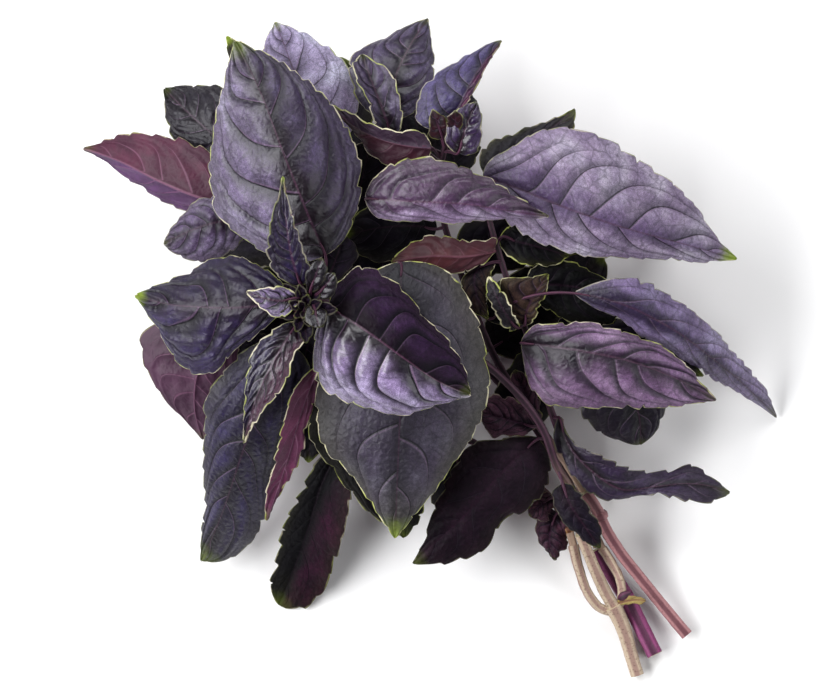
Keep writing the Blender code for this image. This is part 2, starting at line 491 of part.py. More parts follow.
def leaf_mesh(leaf):
    """Vertices and triangles of one blade: two faces split alike, and the rim between them."""
    small = leaf.teeth <= SMALL_LEAF_TEETH
    across = (-1, 0, 1) if small else (-1, -0.5, 0, 0.5, 1)
    shares = np.linspace(0, 1, 2 * leaf.teeth + 1)
    surface = leaf_surface(leaf, shares, across)
    normal = unit(np.cross(np.gradient(surface, axis=1), np.gradient(surface, axis=0)))
    for end in (0, -1):
        normal[end] = normal[end, len(across) // 2]
    surface = cut_teeth(surface)
    half = np.full(surface.shape[:2], BLADE_THICKNESS / 2)
    upper = surface + normal * half[..., None]
    half[:, len(across) // 2] += RIB_DEPTH * np.linspace(1, 0, len(shares))
    lower = surface - normal * half[..., None]
    if leaf.under:
        upper, lower = surface + normal * half[..., None], surface - normal * BLADE_THICKNESS / 2
    lower[..., 2] = np.maximum(lower[..., 2], 0)
    upper[..., 2] = np.maximum(upper[..., 2], BLADE_THICKNESS)
    rows, columns = surface.shape[:2]
    count = rows * columns
    vertices = np.concatenate([upper.reshape(-1, 3), lower.reshape(-1, 3)])
    faces = []
    for row in range(rows - 1):
        for column in range(columns - 1):
            a = row * columns + column
            b, c, d = a + 1, a + columns + 1, a + columns
            for one, two, three in ((a, b, c), (a, c, d)):
                faces.append((one, two, three))
                faces.append((count + one, count + three, count + two))
    rim = list(range(columns))
    rim += [row * columns + columns - 1 for row in range(1, rows)]
    rim += [(rows - 1) * columns + column for column in range(columns - 2, -1, -1)]
    rim += [row * columns for row in range(rows - 2, 0, -1)]
    for here, after in zip(rim, rim[1:] + rim[:1]):
        faces.append((here, count + after, after))
        faces.append((here, count + here, count + after))
    return vertices, faces


def tube_mesh(path, radii, sides, groove=1.0, segments=None, lowest=0):
    """A closed tube along a smooth path. A groove below 1 draws in every second corner, as on a square stem."""
    shares = np.linspace(0, 1, (segments or 2 * (len(path) - 1)) + 1)
    centres = smooth(path, shares)
    radii = np.interp(shares, np.linspace(0, 1, len(radii)), radii)
    along = unit(np.gradient(centres, axis=0))
    side = unit(np.cross(along[0], (0, 0, 1)))
    vertices = []
    for centre, direction, radius in zip(centres, along, radii):
        side = unit(side - direction * np.dot(side, direction))
        over = np.cross(direction, side)
        for corner in range(sides):
            angle = 2 * math.pi * corner / sides
            reach = radius * (groove if corner % 2 else 1)
            vertices.append(centre + reach * (math.cos(angle) * side + math.sin(angle) * over))
    faces = [tuple(range(sides))[::-1], tuple(range(len(vertices) - sides, len(vertices)))]
    for ring in range(len(centres) - 1):
        for corner in range(sides):
            a = ring * sides + corner
            b = ring * sides + (corner + 1) % sides
            faces.append((a, b, b + sides, a + sides))
    vertices = np.array(vertices)
    vertices[:, 2] = np.maximum(vertices[:, 2], lowest)
    return vertices, faces


def stalk_mesh(leaf, stem_path):
    """The stalk of a leaf, from inside the stem to a little way inside the base of its blade."""
    root = smooth(stem_path, [leaf.at])[0]
    rib_length = np.linalg.norm(np.diff(np.array(leaf.rib, float), axis=0), axis=1).sum()
    base, inside = smooth(leaf.rib, [0, STALK_RUN_IN / rib_length])
    bend = [(root + base) / 2 + np.array([0, 0, -STALK_SAG * np.linalg.norm(base - root)])]
    path = [root, *(leaf.via or bend), base, inside]
    radii = (STALK_RADIUS, STALK_TAPER * STALK_RADIUS)
    return tube_mesh(path, radii, STALK_SIDES, segments=len(path), lowest=STALK_CLEARANCE)


def new_object(name, mesh_data, collection):
    vertices, faces = mesh_data
    mesh = bpy.data.meshes.new(name)
    mesh.from_pydata([tuple(MM * vertex) for vertex in vertices], [], faces)
    mesh.validate()
    made = bpy.data.objects.new(name, mesh)
    collection.objects.link(made)
    return made


def fuse(name, meshes):
    """One object from meshes that grow from the first of them."""
    trunk = new_object(name, meshes[0], bpy.context.scene.collection)
    repeats = bpy.data.collections.new(name + "_repeats")
    bpy.context.scene.collection.children.link(repeats)
    for number, mesh_data in enumerate(meshes[1:]):
        new_object(f"{name}_repeat_{number}", mesh_data, repeats)
    union = trunk.modifiers.new("union", "BOOLEAN")
    union.operation = "UNION"
    union.operand_type = "COLLECTION"
    union.solver = "MANIFOLD"
    union.collection = repeats
    bpy.context.view_layer.update()
    joined = bpy.data.meshes.new_from_object(trunk.evaluated_get(bpy.context.evaluated_depsgraph_get()))
    trunk.modifiers.remove(union)
    trunk.data = joined
    for spare in list(repeats.objects):
        bpy.data.objects.remove(spare)
    bpy.data.collections.remove(repeats)
    return trunk


def finish(made, colour, roughness):
    """Names the mesh after its object and gives it a material of its own."""
    made.data.name = made.name
    material = bpy.data.materials.new(made.name)
    material.use_nodes = True
    shader = material.node_tree.nodes["Principled BSDF"]
    shader.inputs["Base Color"].default_value = (*colour, 1)
    shader.inputs["Roughness"].default_value = roughness
    shader.inputs["Metallic"].default_value = 0
    material.diffuse_color = (*colour, 1)
    made.data.materials.clear()
    made.data.materials.append(material)
    made.data.shade_smooth()
    made.data.set_sharp_from_angle(angle=SHARP_ANGLE)
    return made


def build_shoot(shoot):
    radii = (SHOOT_RADIUS, SHOOT_TIP_RADIUS)
    meshes = [tube_mesh(shoot.path, radii, STEM_SIDES, GROOVE)]
    for leaf in shoot.leaves:
        meshes.append(stalk_mesh(leaf, shoot.path))
        meshes.append(leaf_mesh(leaf))
    return finish(fuse(shoot.name, meshes), shoot.colour, 0.4)


def build_pale_stem():
    meshes = [tube_mesh(PALE_TRUNK, (PALE_RADIUS,), STEM_SIDES, GROOVE)]
    for name, path in PALE_FORKS.items():
        meshes.append(tube_mesh(path, (PALE_FORK_RADII[name],), STEM_SIDES, GROOVE))
    meshes.append(leaf_mesh(BRACT))
    return finish(fuse("pale_stem", meshes), (0.62, 0.50, 0.36), 0.6)


def build_plain_stem(name, path, radius, colour):
    tube = tube_mesh(path, (radius,), STEM_SIDES, GROOVE)
    made = new_object(name, tube, bpy.context.scene.collection)
    return finish(made, colour, 0.5)


def clear_scene():
    for spare in list(bpy.data.objects):
        bpy.data.objects.remove(spare)


def main():
    clear_scene()
    build_pale_stem()
    build_plain_stem("magenta_stem", MAGENTA_PATH, MAGENTA_RADIUS, (0.36, 0.07, 0.26))
    build_plain_stem("pink_stem", PINK_PATH, PINK_RADIUS, (0.52, 0.24, 0.26))
    for shoot in SHOOTS:
        build_shoot(shoot)


main()
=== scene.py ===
# %% [markdown]
# # A cut bunch of purple basil
#
# The bunch lies on its side on a pale table. Three cut stems run up and to the left into five leafy shoots.
# Every leaf is a thin toothed blade, puffed up between its side veins, near black to slate purple above and
# magenta below, with a hair-thin pale margin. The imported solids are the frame: they say where each blade
# and stem lies. This script builds the fine surfaces around the same curves.

import math
from dataclasses import dataclass

import bpy
import numpy as np
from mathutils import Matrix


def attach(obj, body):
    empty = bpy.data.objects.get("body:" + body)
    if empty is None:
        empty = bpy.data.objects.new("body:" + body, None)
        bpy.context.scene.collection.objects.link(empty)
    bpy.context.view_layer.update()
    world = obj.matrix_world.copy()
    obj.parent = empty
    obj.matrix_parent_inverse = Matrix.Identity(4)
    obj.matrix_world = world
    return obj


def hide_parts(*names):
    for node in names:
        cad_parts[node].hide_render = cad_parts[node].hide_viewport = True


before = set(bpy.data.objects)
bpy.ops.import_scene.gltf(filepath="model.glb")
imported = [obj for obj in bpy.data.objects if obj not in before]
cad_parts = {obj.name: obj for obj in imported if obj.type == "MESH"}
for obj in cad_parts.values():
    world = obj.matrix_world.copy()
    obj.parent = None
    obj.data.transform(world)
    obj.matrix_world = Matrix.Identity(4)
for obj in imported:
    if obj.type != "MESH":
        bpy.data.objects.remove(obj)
MM = 0.001
for spare in ("Cube", "Light", "Camera"):
    if spare in bpy.data.objects:
        bpy.data.objects.remove(bpy.data.objects[spare])
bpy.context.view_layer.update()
print("solids:", sorted(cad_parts))

# %% [markdown]
# ## Camera, light and table
#
# The photograph looks straight down on the bunch and shows almost no perspective, so the camera hangs high
# above it with a very long lens. The light is soft and comes mostly from one side: a long softbox on the
# left gives the leaves their slate sheen, a smaller one beyond the top edge of the picture lights the shoot
# tips, and a weak one on the right lifts the shadows. The surroundings are almost dark, so that the gaps
# between the leaves stay deep, and the white table fills from underneath.

# %% Camera
VIEW_WIDTH = 0.277
VIEW_CENTRE = (-0.00517, 0.00033)
SHARP_HEIGHT = 0.045
CAMERA_DISTANCE = 6.0
SENSOR = 36


def make_camera():
    camera = bpy.data.objects.new("camera", bpy.data.cameras.new("camera"))
    bpy.context.scene.collection.objects.link(camera)
    camera.data.sensor_width = SENSOR
    camera.data.lens = SENSOR * CAMERA_DISTANCE / VIEW_WIDTH
    camera.data.dof.use_dof = False
    camera.location = (*VIEW_CENTRE, SHARP_HEIGHT + CAMERA_DISTANCE)
    bpy.context.scene.camera = camera
    return camera


print("lens:", round(make_camera().data.lens), "mm")


# %% Softboxes and surroundings
def softbox(name, place, width, height, brightness):
    """A light turned to the bunch. brightness is how bright its face looks beside a white card at 1."""
    lamp = bpy.data.lights.new(name, "AREA")
    lamp.shape = "RECTANGLE"
    lamp.size = width
    lamp.size_y = height
    lamp.energy = brightness * math.pi * width * height
    light = bpy.data.objects.new(name, lamp)
    bpy.context.scene.collection.objects.link(light)
    light.location = place
    aim = light.location.copy()
    aim.negate()
    light.rotation_euler = aim.to_track_quat("-Z", "Y").to_euler()
    light.visible_camera = False


def make_surroundings(colour, strength):
    world = bpy.data.worlds.new("studio")
    world.use_nodes = True
    world.node_tree.nodes["Background"].inputs["Color"].default_value = (*colour, 1)
    world.node_tree.nodes["Background"].inputs["Strength"].default_value = strength
    bpy.context.scene.world = world


softbox("softbox_left", (-0.95, 0.05, 1.10), width=1.70, height=0.60, brightness=10.5)
softbox("softbox_top", (0.20, 0.90, 1.05), width=0.9, height=0.6, brightness=5.5)
softbox("softbox_right", (1.05, -0.25, 0.90), width=0.9, height=0.9, brightness=2.6)
make_surroundings(colour=(0.92, 0.94, 1.0), strength=0.08)
bpy.context.scene.view_settings.view_transform = "Standard"


# %% Small shader helpers
def link_nodes(tree, kind, values=None, settings=None):
    """A node in the tree. A value is a number, a colour, or another node's output, which is then linked."""
    node = tree.nodes.new(kind)
    for key, value in (settings or {}).items():
        setattr(node, key, value)
    for key, value in (values or {}).items():
        if isinstance(value, bpy.types.NodeSocket):
            tree.links.new(value, node.inputs[key])
        else:
            node.inputs[key].default_value = value
    return node


def new_material(name):
    material = bpy.data.materials.new(name)
    material.use_nodes = True
    tree = material.node_tree
    return material, tree, tree.nodes["Principled BSDF"]


def attribute(tree, name):
    return link_nodes(tree, "ShaderNodeAttribute", settings={"attribute_name": name})


def math_node(tree, operation, first, second=0.0, third=0.0):
    node = link_nodes(tree, "ShaderNodeMath", {0: first, 1: second, 2: third}, {"operation": operation})
    return node.outputs[0]


def times(tree, first, second):
    return math_node(tree, "MULTIPLY", first, second)


def split(tree, vector):
    return tuple(link_nodes(tree, "ShaderNodeSeparateXYZ", {0: vector}).outputs)


def noise(tree, place, scale, detail):
    """Cloudy noise around 0.5 at this place."""
    node = link_nodes(tree, "ShaderNodeTexNoise", {"Vector": place, "Scale": scale, "Detail": detail})
    return node.outputs["Fac"]


def ramp(tree, value, low, high, start=0.0, end=1.0):
    """value from low to high becomes start to end, eased at both ends and held outside them."""
    node = link_nodes(
        tree, "ShaderNodeMapRange", {0: value, 1: low, 2: high, 3: start, 4: end},
        {"interpolation_type": "SMOOTHSTEP"})
    return node.outputs[0]


def mix_colour(tree, share, first, second, blend="MIX"):
    node = link_nodes(
        tree, "ShaderNodeMix", {0: share, 6: first, 7: second}, {"data_type": "RGBA", "blend_type": blend})
    return node.outputs[2]


def new_group(name, inputs, outputs):
    """A shader group: its tree, its inputs by name and a function that sets its outputs."""
    tree = bpy.data.node_groups.new(name, "ShaderNodeTree")
    for label, kind in inputs.items():
        tree.interface.new_socket(name=label, in_out="INPUT", socket_type=kind)
    for label, kind in outputs.items():
        tree.interface.new_socket(name=label, in_out="OUTPUT", socket_type=kind)
    source = tree.nodes.new("NodeGroupInput").outputs
    target = tree.nodes.new("NodeGroupOutput").inputs

    def give(**results):
        for label, socket in results.items():
            tree.links.new(socket, target[label])

    return tree, source, give


def place_group(tree, group, **values):
    return link_nodes(tree, "ShaderNodeGroup", values, {"node_tree": group}).outputs


def set_bump(tree, shader, height, distance):
    bump = link_nodes(tree, "ShaderNodeBump", {"Height": height, "Distance": distance, "Strength": 1.0})
    tree.links.new(bump.outputs["Normal"], shader.inputs["Normal"])


NUMBER = "NodeSocketFloat"
COLOUR = "NodeSocketColor"
VECTOR = "NodeSocketVector"


def eye(red, green, blue):
    """A colour given as the eye reads it on a screen, as the linear colour that a shader takes."""
    screen = (red, green, blue)
    return (*(((c + 0.055) / 1.055) ** 2.4 if c > 0.04045 else c / 12.92 for c in screen), 1.0)


# %% White table
TABLE_HALF = 14.0
TABLE_DROP = 0.0002
CARD_COOL = (0.94, 0.94, 0.95, 1)
CARD_WHITE = (0.97, 0.97, 0.97, 1)


def table_material():
    material, tree, shader = new_material("white_table")
    place = link_nodes(tree, "ShaderNodeTexCoord").outputs["Object"]
    colour = mix_colour(tree, noise(tree, place, 40.0, 3.0), CARD_COOL, CARD_WHITE)
    tree.links.new(colour, shader.inputs["Base Color"])
    shader.inputs["Roughness"].default_value = 0.9
    shader.inputs["Specular IOR Level"].default_value = 0.1
    return material


table_mesh = bpy.data.meshes.new("table")
signs = ((-1, -1), (1, -1), (1, 1), (-1, 1))
table_corners = [(x * TABLE_HALF, y * TABLE_HALF, -TABLE_DROP) for x, y in signs]
table_mesh.from_pydata(table_corners, [], [(0, 1, 2, 3)])
table_mesh.materials.append(table_material())
table = bpy.data.objects.new("table", table_mesh)
bpy.context.scene.collection.objects.link(table)
print("table:", 2 * TABLE_HALF, "m wide")

# %% [markdown]
# ## How a leaf is described
#
# A basil leaf has no simple rule for its outline: each one is bent, folded and foreshortened in its own
# way. It is set out as three given curves: the midrib from base to tip, and the left and right
# margins beside it. The solids were lofted from the same points, so the fine blade lies exactly on its
# solid. Lengths are in millimetres. A second record, the look, says how each leaf is coloured and puffed
# up.

# %% Records for leaves and shoots
@dataclass
class Leaf:
    """One blade: its midrib and margins as (x, y, z) points from base to tip.

    at is where its stalk leaves the stem, as a share of the stem's length. left and right are as seen from
    above, walking from base to tip. crown is how far the blade swells between midrib and margin, as a share
    of its half width. under marks a leaf that shows its lower face. via holds points of a stalk that takes
    a path of its own.
    """

    name: str
    at: float
    rib: list
    left: list
    right: list
    crown: float = 0.12
    under: bool = False
    via: tuple = ()


@dataclass
class Shoot:
    """A leafy stem: its path from the woody stem to the growing tip, and its leaves."""

    name: str
    path: list
    leaves: list


# %% Front shoot: the growing tip nearest the eye
FRONT_PATH = [(49.8, -61.4, 20.3), (48, -50, 26), (42, -39, 31), (37.5, -27, 36.5), (24, -10, 45),
              (0, 6, 53), (-22, 13, 59), (-37, 16, 70), (-40, 17, 84)]
FRONT_LEAVES = [
    Leaf("upright_young", 0.985,
         rib=[(-43, 21, 85), (-46, 30, 90), (-48, 43, 94), (-49, 57, 92)],
         left=[(-51, 24, 88), (-55, 31, 91), (-54, 38, 94), (-53, 44, 96), (-51, 50, 96)],
         right=[(-39, 24, 87), (-41, 30, 91), (-43, 36, 94), (-45, 43, 96), (-48, 52, 95)], crown=-0.1),
    Leaf("folded_young", 0.965,
         rib=[(-44, 9, 82), (-51, -2, 84), (-57, -14, 81), (-62, -31, 72)],
         left=[(-40, 6, 84), (-45, -2, 88), (-48, -12, 89), (-55, -20, 85), (-59, -26, 79)],
         right=[(-50, 8, 83), (-57, 3, 83), (-61, -5, 81), (-62, -14, 79), (-62.5, -22, 76)], crown=-0.1),
    Leaf("curled_young", 0.975,
         rib=[(-44, 17, 86), (-50, 16, 88), (-56, 17, 88), (-61, 19, 86)],
         left=[(-46, 12, 87), (-51, 10, 89), (-56, 13, 89)],
         right=[(-47, 20, 87), (-52, 21, 89), (-57, 20, 88)], crown=-0.2),
    Leaf("tip_leaflet_right", 0.99,
         rib=[(-38, 18, 86), (-35, 21, 89), (-32, 25, 91)],
         left=[(-40, 21, 88), (-37, 25, 90)], right=[(-35, 16, 87), (-31, 20, 89)]),
    Leaf("tip_leaflet_low", 0.98,
         rib=[(-39, 15, 85), (-38, 11, 88), (-37, 7, 89)],
         left=[(-36, 14, 86), (-34, 11, 88)], right=[(-42, 13, 87), (-42, 9, 88)]),
    Leaf("tip_leaflet_up", 0.995,
         rib=[(-40, 19, 87), (-38, 25, 91), (-36, 30, 92)],
         left=[(-42, 23, 90), (-40, 28, 92)], right=[(-37, 20, 89), (-34, 26, 91)]),
    Leaf("left_quilted", 0.94,
         rib=[(-47, 16, 76), (-60, 14, 78), (-78, 14, 73), (-88, 15, 68), (-98, 18, 62)],
         left=[(-52, 10, 74), (-58, 4, 72), (-65, -1, 69), (-73, -8, 63), (-81, -8, 60), (-86, -3, 60),
               (-91.3, 6.5, 61)],
         right=[(-50, 23, 75), (-57, 28, 74), (-66, 31, 70), (-73, 30, 67), (-81, 26, 64), (-90, 22, 62)]),
    Leaf("centre_glossy", 0.95,
         rib=[(-34, 14, 77), (-20, 5, 82), (-9, -3, 82), (3, -11, 78), (13, -15, 73)],
         left=[(-31, 22, 76), (-24, 28, 75), (-17, 26, 75), (-9, 20, 75), (-3, 13, 75), (3, 6, 74),
               (8, 0, 73), (12, -8, 72.5)],
         right=[(-37, 9, 76), (-39, 2, 75), (-39, -7, 73), (-36, -14, 72), (-26, -19, 72), (-16, -21, 73),
                (-8, -22, 72), (-2, -20, 72), (6, -18, 72)], crown=0.2),
    Leaf("broad_upright", 0.89,
         rib=[(-35, 31, 72), (-41, 45, 79), (-49, 65, 83), (-57, 86, 81), (-65, 102, 76)],
         left=[(-46, 29, 69), (-56, 32, 66), (-65, 38, 65), (-71, 45, 64), (-74, 60, 66), (-72, 77, 71),
               (-69, 88, 74)],
         right=[(-28, 38, 70), (-23, 50, 70), (-22.5, 61, 71), (-28, 74, 73), (-37, 86, 75),
                (-48, 95, 76), (-58, 100, 76)]),
    Leaf("long_drooping", 0.875,
         rib=[(-48, 2, 66), (-57, -18, 57), (-64, -38, 43), (-71, -58, 24), (-77, -71, 10)],
         left=[(-41, -4, 60), (-42, -17, 50), (-48, -32, 40), (-53, -43, 31), (-55.5, -57, 20),
               (-60, -65, 14), (-68.5, -71, 9)],
         right=[(-58, 2, 62), (-69, -7, 54), (-75, -16, 49), (-76.5, -28, 42), (-76, -40, 33),
                (-76, -52, 23), (-77.3, -62, 15)]),
    Leaf("magenta_low", 0.86,
         rib=[(-38, -6, 60), (-43, -19, 55), (-48, -36, 48), (-55, -57, 38)],
         left=[(-37, -14, 56), (-41, -26, 52), (-42.3, -34, 48), (-47, -44.5, 43), (-52, -50.5, 40)],
         right=[(-45, -12, 62), (-50, -28, 57), (-53, -39, 51), (-55.5, -48, 44)], under=True),
    Leaf("broad_hanging", 0.8,
         rib=[(-10, 29, 64), (-10, 10, 68), (-10, -14, 66), (-11, -38, 59), (-12, -63, 46)],
         left=[(1, 28, 63), (8, 24, 62), (14, 14, 61), (18, 2, 60), (20, -10, 58), (17, -24, 55),
               (11, -33, 53), (1, -48, 50)],
         right=[(-22, 24, 62), (-32, 10, 62), (-38, -4, 61), (-39, -17, 59), (-36, -32, 56),
                (-25, -45, 52), (-18, -55, 49)]),
    Leaf("neck_small", 0.17,
         rib=[(44, -45, 32), (46.5, -52, 33), (50.5, -58, 32), (56.5, -66.5, 28)],
         left=[(50, -47.5, 33), (54, -54, 32.5), (57, -60, 30)],
         right=[(40, -49, 31), (43, -56, 30.5), (49, -63, 28.5)]),
]
FRONT_SHOOT = Shoot("front_shoot", FRONT_PATH, FRONT_LEAVES)

# %% Top shoot
TOP_PATH = [(51.1, -47.5, 20.3), (45, -38, 22), (33.5, -22, 23), (22, -4, 25), (12, 20, 31), (4, 44, 42),
            (3, 58, 52), (5, 68, 63)]
TOP_LEAVES = [
    Leaf("rear_spread", 0.93,
         rib=[(-14, 76, 56), (-12, 90, 56), (-7, 101, 52), (-1, 110, 46)],
         left=[(-22, 80, 54), (-27, 88, 54), (-27, 97, 52), (-19, 102, 50), (-10, 107, 47)],
         right=[(-5, 79, 54), (1, 86, 52), (1.5, 95, 50), (0, 103, 48)]),
    Leaf("cupped", 0.965,
         rib=[(-13, 71, 58), (-17, 82, 61), (-20.5, 91, 62), (-23, 98, 61)],
         left=[(-18.5, 74, 60), (-21.7, 83, 63), (-25, 90, 64), (-26.3, 95, 62)],
         right=[(-9.5, 74, 60), (-9.8, 81, 63), (-12, 90, 64), (-19, 96.5, 62)], crown=-0.1),
    Leaf("violet_curved", 0.985,
         rib=[(3, 72, 66), (9, 80, 69), (13.5, 89, 70), (23.3, 102.5, 62)],
         left=[(-5, 76, 66), (-4, 85, 66), (4, 93, 65), (10, 97, 64), (17, 100.5, 63)],
         right=[(7, 76, 69), (12, 81, 71), (15.7, 87.5, 71), (18.7, 94, 69), (22, 98.5, 65)]),
    Leaf("red_reversed", 0.945,
         rib=[(0, 67, 64), (-9, 68, 64), (-21, 72, 63), (-33, 81, 59)],
         left=[(-2, 62, 62), (-9, 60, 61), (-18, 63, 60), (-26, 72, 59)],
         right=[(-4, 73, 66.5), (-12, 72.5, 68), (-20, 75, 67), (-27, 79, 62)], under=True),
    Leaf("quilted_young", 0.975,
         rib=[(9, 65, 67), (11, 72, 70), (15, 82, 71)],
         left=[(5, 68, 69), (5, 74, 71), (9, 80, 72)], right=[(15, 65, 68), (17, 72, 70), (17, 78, 71)],
         crown=0.2),
    Leaf("red_tip_left", 0.992,
         rib=[(4, 70, 67), (2, 75, 71), (0.5, 79.5, 73)],
         left=[(0, 70, 68), (-1, 75, 71)], right=[(6.5, 73, 70), (4.5, 77.5, 72)]),
    Leaf("red_tip_right", 0.998,
         rib=[(6, 71, 67), (8, 75, 73), (8, 79, 76)],
         left=[(5, 74, 71), (5, 77, 74)], right=[(10, 73, 71), (11, 77, 74)]),
    Leaf("crosswise", 0.8,
         rib=[(-22, 50, 65), (-7, 49, 71), (12, 48, 73), (28, 45.5, 71), (39, 44, 68)],
         left=[(-19, 57, 66), (-12, 62.5, 69), (-3, 64, 70), (5, 63, 71), (13, 60, 71), (20, 57, 70),
               (30, 50, 69)], right=[(-18, 44, 64), (-7, 42, 66), (8, 42, 67), (27, 43, 67)],
         via=((-2, 45, 50), (-14, 47, 58))),
    Leaf("low_dark", 0.15,
         rib=[(36, -30, 27), (24, -41, 30), (11, -56, 30), (-1, -67, 27), (-6, -71.7, 25)],
         left=[(39.5, -36, 26), (39.3, -46, 25), (33, -54, 26), (24, -58.5, 26), (19, -66, 25),
               (6.5, -72, 24)],
         right=[(31, -29, 28), (22.5, -30, 30), (13, -31.5, 30), (6, -41, 30), (1, -52, 29), (-2, -62, 27)]),
    Leaf("wilted", 0.26,
         rib=[(35, -26, 29), (27, -24, 34), (16, -21, 36)],
         left=[(30, -29, 31), (19, -28, 33)], right=[(31, -19, 33), (20, -15, 37)], crown=0.3),
    Leaf("wilted_tall", 0.22,
         rib=[(36, -24, 28), (32, -16, 31), (28, -7, 33)],
         left=[(31, -20, 30), (26, -12, 33)], right=[(37, -18, 30), (34, -10, 33)], crown=0.3),
    Leaf("inner_middle", 0.6,
         rib=[(9, 32, 35), (20, 35, 37), (36, 36, 34)],
         left=[(10, 41, 36), (21, 45, 37), (32, 43, 34)], right=[(14, 23, 35), (24, 25, 36), (34, 29, 34)]),
    Leaf("inner_left", 0.74,
         rib=[(2, 40, 42), (-8, 41, 48), (-28, 38, 48)],
         left=[(-4, 33, 41), (-16, 29, 42), (-25, 32, 44)],
         right=[(-2, 48, 45), (-13, 51, 48), (-24, 46, 48)]),
    Leaf("inner_right", 0.52,
         rib=[(19, 10, 29), (34, 18, 33), (54, 24, 28)],
         left=[(20, 20, 30), (32, 28, 31), (46, 29, 28)], right=[(27, 7, 29), (41, 8, 30), (52, 16, 27)]),
    Leaf("inner_rear", 0.84,
         rib=[(7, 56, 43), (8, 68, 38), (9, 80, 30), (12, 90, 18)],
         left=[(0, 62, 40), (-1, 74, 34), (4, 86, 22)], right=[(15, 62, 40), (17, 72, 33), (15, 83, 22)]),
    Leaf("inner_rear_left", 0.79,
         rib=[(0, 57, 39), (-4, 72, 34), (-8, 91, 18)],
         left=[(-9, 63, 38), (-15, 77, 30), (-14, 88, 20)], right=[(7, 65, 34), (3, 79, 25), (-2, 90, 18)]),
]
TOP_SHOOT = Shoot("top_shoot", TOP_PATH, TOP_LEAVES)

